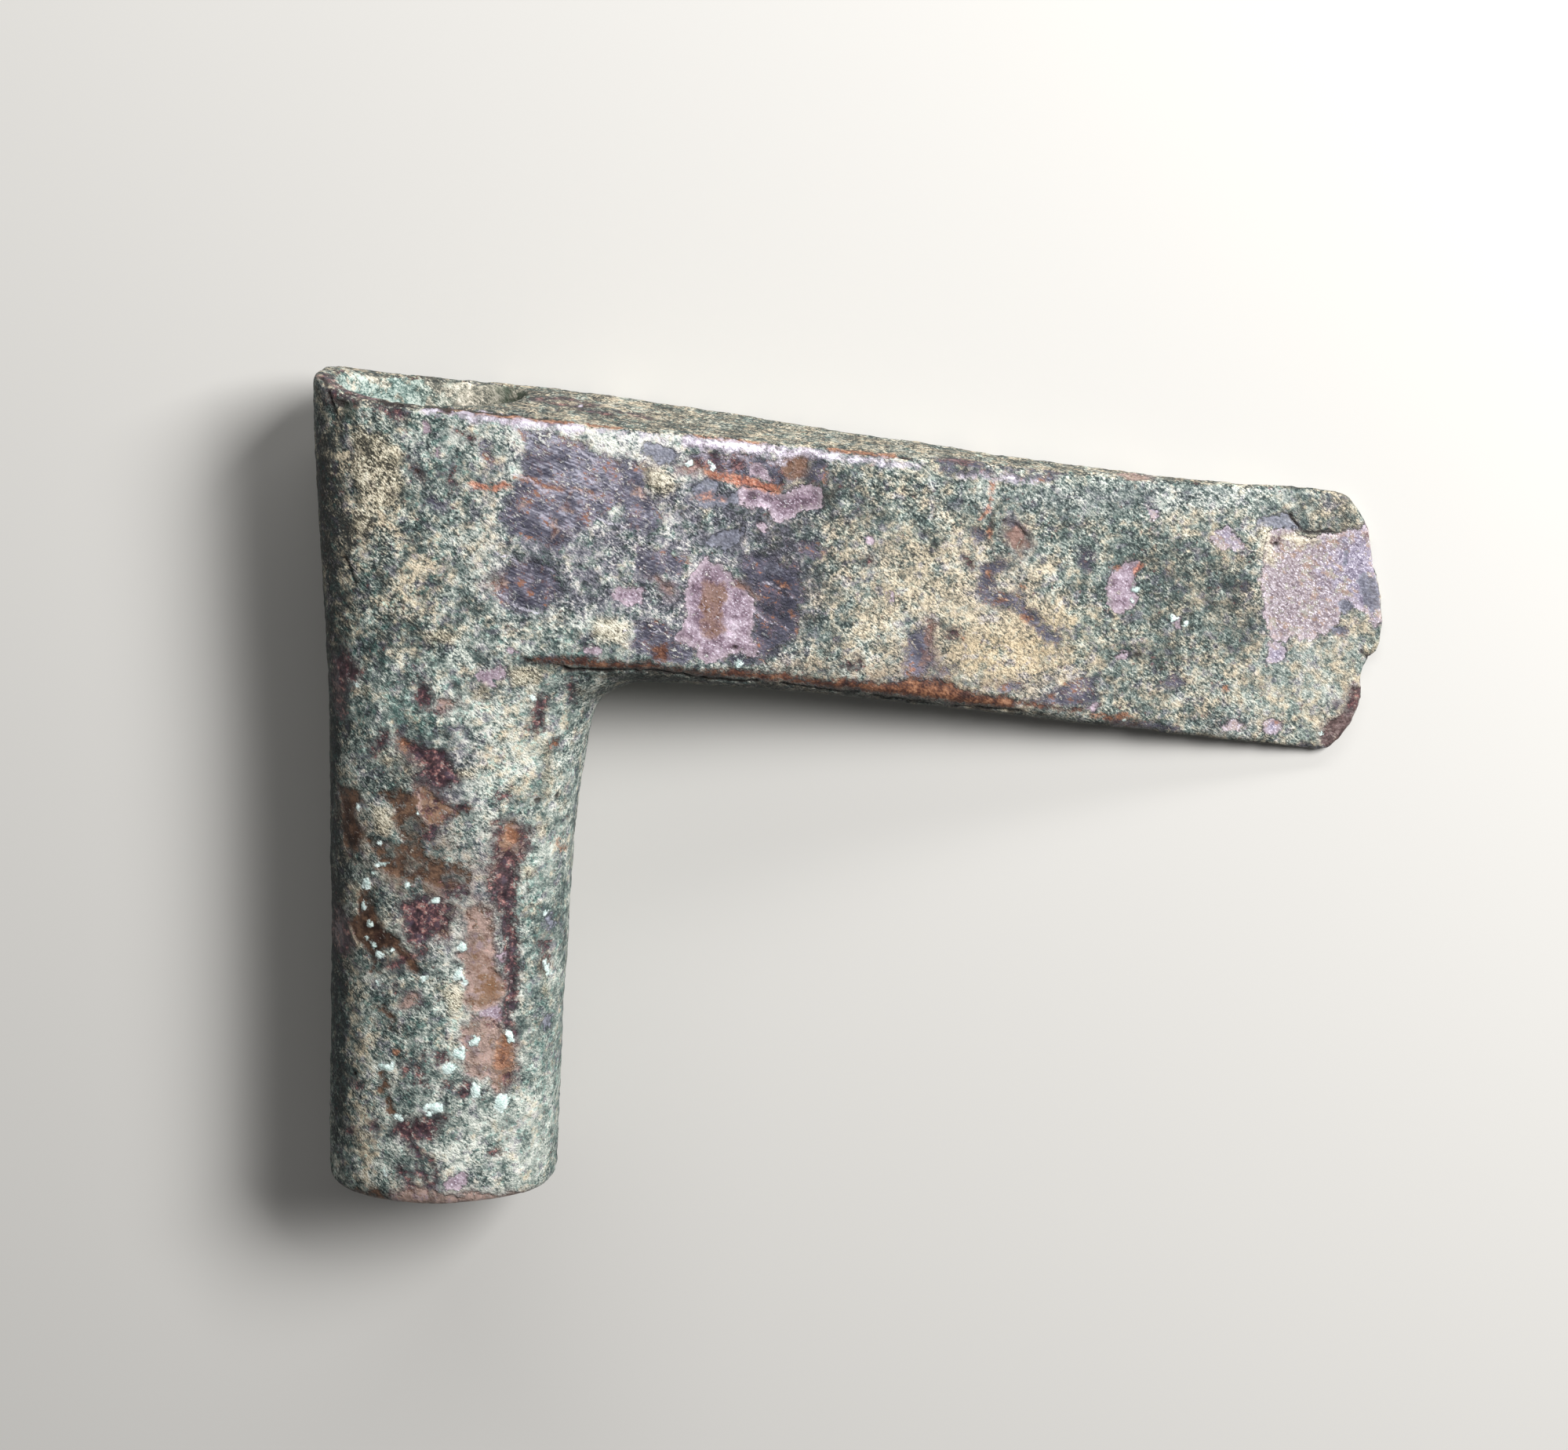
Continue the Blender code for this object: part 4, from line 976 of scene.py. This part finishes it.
class Patina(Recipe):
    """The patina's recipe, with the values that its layers share."""

    def __init__(self):
        super().__init__("patinated_bronze")
        self.diagonal = self.stretched(1.9, 1.0, GRAIN_SLANT)
        self.grain = self.noise(0.3, 3.0, 0.62, at=self.diagonal)
        self.speck = self.noise(0.17, 2.0, 0.5, at=self.stretched(1.5, 1.0, GRAIN_SLANT), shift=0.3)
        self.ragged = self.noise(0.8, 5.0, 0.7, shift=1.7)
        self.clump = self.noise(1.15, shift=5.1)
        self.patchy = self.noise(1.7, 5.0, 0.68, shift=2.3)
        self.mottle = self.noise(2.5, 2.5, 0.55, at=self.stretched(1.3, 1.0, MOTTLE_SLANT), shift=0.7)
        self.tone = self.stored("tone")
        self.blade = self.stored("blade")
        self.quiet = self.stored("quiet")
        self.violet = self.stored("violet")
        self.top = self.stored("top")

        # The crust's fine grains are stronger in some parts than in others.
        self.fine = swing(self.grain, 1.1) + swing(self.speck, 0.55)
        self.fine *= self.step(self.noise(3.4, 2.0, 0.5, shift=9.1), 0.36, 0.62, 0.6, 1.35)
        self.fine *= 1 - self.quiet * 0.45
        self.level = self.crust_level()

        # Copper and brown thin out in patches and are ragged, but not where they are crisp.
        self.crisp = self.stored("crisp")
        self.loose = 1 - self.crisp * 0.7
        thick = self.step(self.patchy + swing(self.mottle, 1.2), 0.3, 0.56, 0.5, 0.97)
        self.thick = self.largest(thick, self.crisp)
        self.metal_tone = self.patchy * 0.5 + self.speck * 0.1 + self.mottle * 0.4
        self.dark_flecks = self.step(self.ragged + swing(self.clump, 0.9), 0.56, 0.63, 0.0, 0.8)

    def crust_level(self):
        """How light the crust is, from 0 to 1: grains over lighter and darker parts, cracks and hollows."""
        drift = self.noise(8.0, 2.0, 0.5, shift=1.1)
        broad = swing(self.mottle, 0.66) + swing(drift, 0.45) + swing(self.clump, 0.8)
        broad *= 1.05 - self.blade * 0.25
        broad *= 1 - self.stored("even") * 0.35
        broad *= 1 - self.quiet * 0.3
        line = self.math("ABSOLUTE", self.noise(0.55, at=self.diagonal, shift=8.3) - 0.5)
        cracks = self.step(line, 0.0, 0.045, -0.15, 0.03) * (0.1 + self.blade * 0.8)
        hollows = self.step(self.noise(1.5, 3.0, 0.55, shift=14.3), 0.3, 0.4, -0.15, 0.0)
        hollows *= 1 - self.quiet
        lumps = self.step(self.noise(1.3, 3.0, 0.55, shift=15.1), 0.6, 0.72, 0.0, 0.1)
        level = 0.5 + self.fine + broad + cracks + hollows + lumps + self.tone * 0.17
        on_top = 0.42 + self.fine * 1.7 + broad + cracks + hollows
        return self.blend(self.top, level, on_top)

    def cover(self, name, ragged_by, soft, crumbly, source=None):
        """1 inside a family's places and 0 outside, with an edge as ragged, soft and crumbly as stated."""
        distance = self.stored(name) + swing(source or self.ragged, ragged_by) + swing(self.grain, crumbly)
        return self.step(distance, -soft, soft)

    def crumbled(self, cover, name, low):
        """A cover with crumbs of crust left on it, fewer towards the middle of each place."""
        inside = self.step(self.stored(name), 0.0, 2.2)
        crumbs = self.step(self.grain + swing(self.clump, 0.8) - inside * 0.06, low, low + 0.05)
        crumbs *= 0.85 - self.crisp * 0.4
        return cover * (1 - crumbs)

    def halo(self, name, reach):
        """A stain in the crust round a family's places."""
        return self.step(self.stored(name) + swing(self.patchy, 3.0), -reach, 0.2)

    def grained(self, colour):
        """A smooth skin's colour, with the fine grain of the crust over it."""
        grey = self.ramp(self.grain, (0.3, 88, 88, 88), (0.7, 168, 168, 168))
        return self.mix(0.5, colour, grey, "OVERLAY")


def crust_colour(r):
    """Cool and warm parts, then pink-grey, verdigris, reddish and brown stains in them."""
    cool = r.ramp(
        r.level,
        (0.2, 32, 42, 42), (0.37, 72, 86, 83), (0.5, 117, 128, 122), (0.63, 168, 174, 166),
        (0.8, 214, 217, 207),
    )
    warm = r.ramp(
        r.level,
        (0.2, 44, 45, 42), (0.37, 88, 87, 78), (0.5, 140, 132, 115), (0.63, 186, 173, 149),
        (0.8, 210, 197, 173),
    )
    broad_hue = r.noise(3.2, 2.0, 0.5, shift=6.1)
    lump_hue = r.noise(1.2, shift=16.7)
    warmth = r.stored("sandy") + swing(broad_hue, 2.4) + swing(lump_hue, 3.0)
    warmth = warmth + swing(r.clump, 1.4) + swing(r.mottle, 0.8) + r.blade * 0.48 - 0.06
    colour = r.mix(r.math("ADD", warmth, r.top * 0.75, clamp=True), cool, warm)
    tan = r.stored("tan") * r.step(r.clump, 0.3, 0.6, 0.2, 0.6)
    colour = r.mix(tan, colour, rgb(250, 236, 213), "MULTIPLY")

    steely = r.ramp(
        r.level,
        (0.22, 50, 48, 58), (0.4, 88, 86, 98), (0.52, 118, 115, 126), (0.64, 160, 156, 160),
        (0.8, 208, 204, 200),
    )
    pink = r.step(r.noise(1.7, shift=7.7), 0.53, 0.66, 0.0, 0.6) * (1 - r.top)
    colour = r.mix(pink, colour, steely)
    aqua = r.ramp(r.level, (0.3, 44, 76, 72), (0.5, 104, 136, 128), (0.75, 186, 214, 204))
    teal = r.step(r.noise(0.9, shift=3.1) + r.stored("green") * 0.12, 0.56, 0.68, 0.0, 0.62)
    colour = r.mix(teal * (1 - r.blade * 0.6), colour, aqua)
    red_specks = r.step(r.noise(0.7, shift=4.3), 0.64, 0.71)
    colour = r.mix(red_specks * 0.65, colour, rgb(104, 66, 64))
    stain = r.stored("stained") * r.step(r.patchy + swing(r.grain, 0.5), 0.3, 0.62)
    colour = r.mix(stain * 0.85, colour, steely)
    umber = r.stored("umber") * r.step(r.mottle + swing(r.grain, 0.6), 0.35, 0.6)
    return r.mix(umber * 0.75, colour, rgb(104, 80, 64))


def steel_layer(r):
    """Dark metal with fine scratches, where crumbs of crust still sit."""
    cover = r.cover("steel", 4.5, 0.5, 2.2, r.patchy)
    cover *= 1 - r.step(r.grain + swing(r.patchy, 1.0), 0.54, 0.7) * 0.8
    scratch = r.noise(0.25, 1.5, 0.5, at=r.stretched(16, 1, SCRATCH_SLANT))
    cross_scratch = r.noise(0.3, 1.5, 0.5, at=r.stretched(12, 1, CROSS_SCRATCH_SLANT), shift=0.9)
    marks = swing(scratch, 0.75) + swing(cross_scratch, 0.35) + swing(r.grain, 0.4)
    marks *= 1 - r.blade * 0.45
    # The tone's blots also paint a sheen on the metal along the upper arris.
    level = 0.5 + marks + swing(r.mottle, 0.7) + r.tone * 0.12
    colour = r.ramp(
        level,
        (0.26, 56, 56, 68), (0.46, 88, 87, 101), (0.6, 122, 121, 135), (0.76, 182, 181, 196),
    )
    ruddy = r.step(r.clump + swing(r.ragged, 0.6), 0.56, 0.7, 0.0, 0.55)
    colour = r.mix(ruddy, colour, rgb(118, 86, 80))
    blush = r.step(r.mottle + swing(r.patchy, 0.5), 0.5, 0.66, 0.0, 0.4)
    colour = r.mix(blush, colour, rgb(128, 108, 122))
    fleck = r.noise(0.6, 4.0, 0.65, at=r.stretched(1.4, 1.0, SCRATCH_SLANT), shift=17.9)
    fleck = r.step(fleck + swing(r.mottle, 0.8), 0.63, 0.69, 0.0, 0.8)
    return cover, r.mix(fleck, colour, rgb(160, 110, 82))


def lilac_layer(r):
    """Flakes with a smooth lilac skin, a pale rim and a fine sparkle, crumbly at the cutting edge."""
    cover = r.crumbled(r.cover("lilac", 2.2, 0.14, 0.5), "lilac", 0.66)
    level = r.patchy * 0.8 + r.grain * 0.45 + swing(r.mottle, 0.8) + r.tone * 0.06 - 0.07
    colour = r.ramp(
        level,
        (0.34, 92, 73, 86), (0.47, 133, 111, 126), (0.6, 168, 148, 163), (0.76, 208, 196, 207),
    )
    level = 0.04 + r.grain * 0.5 + r.ragged * 0.3 + r.patchy * 0.2
    flake = r.ramp(
        level,
        (0.36, 96, 84, 94), (0.46, 132, 116, 124), (0.56, 164, 150, 156), (0.7, 208, 199, 203),
    )
    bluer = r.ramp(
        level,
        (0.36, 84, 80, 104), (0.46, 120, 114, 142), (0.56, 156, 150, 176), (0.7, 206, 202, 220),
    )
    bluer_share = r.step(r.stored("violet_edge") + swing(r.patchy, 1.6), 0.3, 0.8, 0.0, 0.7)
    colour = r.mix(r.violet, colour, r.mix(bluer_share, flake, bluer))
    for noise, crumb_colour in (
        (r.noise(0.75, at=r.diagonal, shift=13.1) + swing(r.mottle, 0.7), rgb(176, 146, 126)),
        (r.noise(0.7, 4.0, 0.65, shift=12.7) + swing(r.mottle, 0.6), rgb(172, 170, 158)),
    ):
        crumbs = r.step(noise, 0.54, 0.64, 0.0, 0.7)
        colour = r.mix(crumbs * r.violet, colour, crumb_colour)
    rim = r.step(r.stored("lilac"), 1.1, 0.1)
    colour = r.mix(rim * 0.45, colour, rgb(204, 188, 196))
    glint = r.step(r.speck + swing(r.grain, 0.5) + r.violet * 0.04, 0.62, 0.69)
    colour = r.mix(glint * 0.7, colour, rgb(236, 233, 242))
    return cover, r.grained(colour)


def bluish_layer(r):
    """Smooth blue-grey places."""
    cover = r.cover("bluish", 2.2, 0.2, 0.8)
    level = r.ragged * 0.6 + r.grain * 0.4 + r.tone * 0.1
    colour = r.ramp(level, (0.34, 84, 84, 96), (0.5, 118, 120, 134), (0.68, 160, 162, 178))
    return cover, r.grained(colour)


def cream_layer(r):
    """Places where the crust is thick and creamy."""
    level = r.level + r.fine * 0.2 + r.tone * 0.03 - 0.01
    colour = r.ramp(level, (0.26, 68, 64, 54), (0.5, 162, 152, 128), (0.76, 226, 218, 196))
    return r.cover("cream", 3.0, 0.7, 1.5, r.patchy), colour


def copper_layer(r):
    """Bare copper, ochre and mauve in places, redder on the blade and like rock in the flake at its end."""
    cover = r.cover("copper", r.loose * 3.0, 0.35, 0.8, r.patchy)
    cover = r.crumbled(cover, "copper", 0.62) * r.thick
    colour = r.ramp(
        r.metal_tone,
        (0.38, 126, 92, 78), (0.46, 168, 138, 124), (0.54, 196, 172, 162), (0.64, 212, 192, 180),
    )
    near_ochre = r.stored("ochre")
    mauve = r.step(r.noise(1.6, shift=10.3), 0.52, 0.66, 0.0, 0.55) * (1 - near_ochre)
    colour = r.mix(mauve, colour, rgb(164, 144, 158))
    redder = r.mix(r.patchy, rgb(92, 62, 54), rgb(168, 130, 118))
    colour = r.mix(r.step(r.blade, 0.1, 0.4, 0.0, 0.8), colour, redder)
    ochre = r.step(r.clump + swing(r.ragged, 0.5) + near_ochre * 0.3, 0.54, 0.68, 0.0, 0.75)
    colour = r.mix(ochre, colour, r.mix(r.blade, rgb(156, 116, 82), rgb(112, 80, 58)))
    rock = r.ramp(
        r.ragged + swing(r.clump, 0.8) + swing(r.grain, 0.4),
        (0.36, 64, 52, 56), (0.5, 112, 92, 92), (0.66, 160, 140, 140),
    )
    colour = r.mix(r.violet * 0.85, colour, rock)
    outer = r.step(r.stored("copper"), 1.5, 0.2)
    colour = r.mix(r.dark_flecks * outer, colour, rgb(92, 52, 46))
    return cover, r.grained(colour)


def ridge_layer(r):
    """The worn arris under the blade, darker at its rim."""
    cover = r.cover("ridge", 2.4, 0.4, 1.6)
    colour = r.ramp(
        r.metal_tone + swing(r.grain, 0.5) + swing(r.clump, 0.5),
        (0.34, 42, 26, 25), (0.46, 78, 47, 37), (0.56, 120, 78, 55), (0.68, 162, 118, 90),
    )
    rim = r.step(r.stored("ridge"), 0.8, 0.0)
    return cover, r.mix(rim * 0.55, colour, rgb(78, 48, 44))


def brown_layer(r):
    """Brown plates with dark red flecks."""
    cover = r.cover("brown", r.loose * 4.4, 0.45, 1.0, r.patchy)
    cover = r.crumbled(cover, "brown", 0.66) * r.thick
    colour = r.ramp(
        r.metal_tone + swing(r.patchy, 0.7),
        (0.36, 54, 40, 34), (0.5, 88, 66, 54), (0.64, 132, 102, 82),
    )
    colour = r.mix(r.dark_flecks * 0.6, colour, rgb(66, 40, 38))
    return cover, r.grained(colour)


def wine_layer(r):
    """Wine-red pits, purple in places."""
    cover = r.crumbled(r.cover("wine", 4.0, 0.4, 2.4), "wine", 0.6)
    colour = r.ramp(
        r.ragged + swing(r.clump, 0.8) + swing(r.grain, 0.3),
        (0.34, 38, 26, 31), (0.5, 64, 44, 50), (0.58, 100, 68, 70), (0.7, 170, 126, 118),
    )
    purple = r.step(r.noise(1.9, 2.0, 0.5, shift=11.9), 0.52, 0.64, 0.0, 0.4)
    return cover, r.mix(purple, colour, rgb(86, 74, 90))


def rust_layer(r):
    """Rust, a dull brown, but orange in the ruddy places."""
    cover = r.cover("rust", 1.8, 0.35, 1.2)
    level = r.ragged + swing(r.grain, 0.7)
    dull = r.ramp(
        level,
        (0.32, 82, 52, 44), (0.48, 124, 82, 60), (0.62, 160, 114, 86), (0.76, 196, 162, 142),
    )
    bright = r.ramp(
        level,
        (0.32, 104, 56, 46), (0.48, 154, 88, 64), (0.62, 192, 126, 100), (0.76, 214, 180, 166),
    )
    return cover, r.mix(r.stored("ruddy"), dull, bright)


def pits_and_ledge_shade_layer(r):
    """Nearly black pits, and painted shade along the lower arris's ledge and the broken corner's step."""
    return r.cover("pits", 0.9, 0.2, 0.5), rgb(38, 30, 28)


def oval_layer(r):
    """A small dark green spot under the mouth's rim."""
    return r.stored("oval"), rgb(44, 58, 48)


def polish_and_highlight_layer(r):
    """Places rubbed bright, and painted pale as the arris's highlight too, thinner here and there."""
    cover = r.cover("polish_and_highlight", 2.2, 0.5, 1.6, r.patchy) * r.step(r.mottle, 0.32, 0.5, 0.45, 0.9)
    return cover, r.ramp(r.metal_tone, (0.42, 146, 132, 146), (0.56, 200, 193, 206))


def scratches_layer(r):
    """Pale scratches."""
    return r.cover("scratches", 0.5, 0.16, 0.5), rgb(212, 208, 222)


def pearl_layer(r):
    """Pale turquoise spots that stand out of the crust."""
    return r.cover("pearl", 1.6, 0.12, 0.3), r.ramp(r.ragged, (0.35, 164, 190, 184), (0.6, 222, 236, 232))


def shaft_hole_colour(r, crust):
    """Brownish and dark inside; the mouth is cream, turquoise at one end and painted olive shade at the other.
    """
    mouth = r.ramp(r.level, (0.3, 92, 92, 84), (0.5, 168, 162, 146), (0.7, 222, 212, 196))
    green_level = r.level + swing(r.patchy, 0.8)
    green = r.ramp(green_level, (0.34, 58, 78, 74), (0.5, 112, 134, 128), (0.7, 180, 192, 184))
    verdigris = r.stored("mouth_green") * r.step(r.patchy + swing(r.mottle, 1.2), 0.36, 0.52)
    mouth = r.mix(verdigris, mouth, green)
    # Painted shade in olive at the mouth's far end.
    olive = r.stored("mouth_far_shade") * r.step(r.patchy, 0.25, 0.55)
    mouth = r.mix(olive, mouth, rgb(72, 80, 66))
    inside = r.mix(1.0, crust, rgb(104, 96, 80), "MULTIPLY")
    return r.mix(r.stored("mouth"), inside, mouth)


# The layers over the crust, from the lowest up, with how much of what lies under it each one hides.
LAYERS = {
    "steel": (steel_layer, 1.0),
    "lilac": (lilac_layer, 0.95),
    "bluish": (bluish_layer, 0.9),
    "cream": (cream_layer, 0.75),
    "copper": (copper_layer, 1.0),
    "ridge": (ridge_layer, 0.95),
    "brown": (brown_layer, 1.0),
    "wine": (wine_layer, 0.95),
    "rust": (rust_layer, 0.88),
    "pits": (pits_and_ledge_shade_layer, 0.92),
    "oval": (oval_layer, 0.7),
    "polish_and_highlight": (polish_and_highlight_layer, 1.0),
    "scratches": (scratches_layer, 0.8),
    "pearl": (pearl_layer, 1.0),
}


def patina():
    """A matt crust, smoother and a little metallic where it is bare, with a bump that follows its grains."""
    r = Patina()
    crust = crust_colour(r)
    colour = r.mix(r.halo("copper", 1.4) * 0.4, crust, rgb(122, 98, 98))
    colour = r.mix(r.halo("wine", 1.2) * 0.35, colour, rgb(84, 72, 78))
    covers = {}
    for name, (layer, hides) in LAYERS.items():
        covers[name], paint = layer(r)
        colour = r.mix(covers[name] * hides, colour, paint)
    colour = r.mix(r.stored("bore") * 0.95, colour, shaft_hole_colour(r, crust))
    # Painted shade on the faces that look down under the blade.
    colour = r.mix(r.stored("below") * 0.75, colour, rgb(92, 92, 86), "MULTIPLY")
    r.feed(r.inputs["Base Color"], colour)

    steel = covers["steel"]
    polish_and_highlight = covers["polish_and_highlight"]
    metal = r.largest(covers["copper"], covers["brown"])
    smooth = r.largest(covers["bluish"], covers["lilac"], metal, covers["wine"], covers["ridge"])
    smooth *= 1 - covers["pearl"]
    roughness = r.blend(r.step(r.grain, 0.45, 0.75), 0.85, 0.55)
    for cover, value in ((steel, 0.36), (smooth, 0.42), (polish_and_highlight, 0.28)):
        roughness = r.blend(cover, roughness, value)
    r.feed(r.inputs["Roughness"], roughness)
    metallic = 0.0
    for cover, value in ((steel, 0.35), (metal, 0.25), (polish_and_highlight, 0.4)):
        metallic = r.blend(cover, metallic, value)
    r.feed(r.inputs["Metallic"], metallic)

    height = r.grain * 0.75 + r.speck * 0.35 + r.clump * 0.6
    height *= 1 + covers["cream"] * 0.7
    flat = r.noise(0.3, 2.0, 0.5, shift=5.7) * 0.25
    height = r.blend(r.largest(smooth, polish_and_highlight, steel), height, flat)
    r.feed(r.inputs["Normal"], r.bump(height, 0.3))
    return r.material


# ---------------------------------------------------------------- studio

# The camera looks at a point of the upright frame, from the distance and with the lens that the photo shows.
CAMERA_TARGET = (49.77, 0, 68.14)
CAMERA_DISTANCE = 462
CAMERA_ELEVATION = math.radians(16.285)
LENS = 75.64
SENSOR = 36

FLOOR_SIZE = 6
FLOOR_COLOUR = (198, 196, 192)
WORLD_STRENGTH = 0.09
KEY_POWER = 10.8
RIM_POWER = 2.2


def add_camera():
    """The camera stands square to the head's front face and looks down on it from the mouth's side."""
    rise = CAMERA_ELEVATION
    right = turn_lying((1, 0, 0))
    up = turn_lying((0, math.sin(rise), math.cos(rise)))
    back = turn_lying((0, -math.cos(rise), math.sin(rise)))
    data = bpy.data.cameras.new("camera")
    data.lens = LENS
    data.sensor_width = SENSOR
    data.clip_start = 0.01
    camera = bpy.data.objects.new("camera", data)
    place_at = to_lying(CAMERA_TARGET) + back * CAMERA_DISTANCE * MM
    camera.matrix_world = Matrix.Translation(place_at) @ Matrix((right, up, back)).transposed().to_4x4()
    bpy.context.scene.collection.objects.link(camera)
    bpy.context.scene.camera = camera


def add_softbox(name, place_at, aim, size, power):
    """A rectangular lamp that faces the point it aims at. Places and sizes are in metres, power in watts."""
    data = bpy.data.lights.new(name, "AREA")
    data.shape = "RECTANGLE"
    data.size, data.size_y = size
    data.energy = power
    lamp = bpy.data.objects.new(name, data)
    lamp.location = place_at
    lamp.rotation_euler = (Vector(aim) - Vector(place_at)).to_track_quat("-Z", "Y").to_euler()
    bpy.context.scene.collection.objects.link(lamp)


def add_floor():
    """A wide pale matt floor under the head."""
    bpy.ops.mesh.primitive_plane_add(size=FLOOR_SIZE)
    floor = bpy.context.object
    floor.name = "floor"
    r = Recipe("pale_floor")
    r.feed(r.inputs["Base Color"], rgb(*FLOOR_COLOUR))
    r.feed(r.inputs["Roughness"], 0.9)
    floor.data.materials.append(r.material)


def add_studio():
    """A pale room with a large soft key light from the upper right, and a rim light beyond the mouth."""
    world = bpy.data.worlds.new("studio")
    world.use_nodes = True
    background = world.node_tree.nodes["Background"].inputs
    background["Color"].default_value = (1, 1, 1, 1)
    background["Strength"].default_value = WORLD_STRENGTH
    bpy.context.scene.world = world
    add_softbox("key", (0.46, 0.36, 0.5), (0, 0.01, 0.01), (0.36, 0.26), KEY_POWER)
    add_softbox("rim", (0.0, 0.62, 0.3), (0.01, 0.03, 0.02), (0.8, 0.08), RIM_POWER)
    bpy.context.scene.view_settings.view_transform = "Standard"


casting = build_casting(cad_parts[NODE])
casting.data.materials.append(patina())
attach(casting, "root")
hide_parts(NODE)
add_floor()
add_studio()
add_camera()
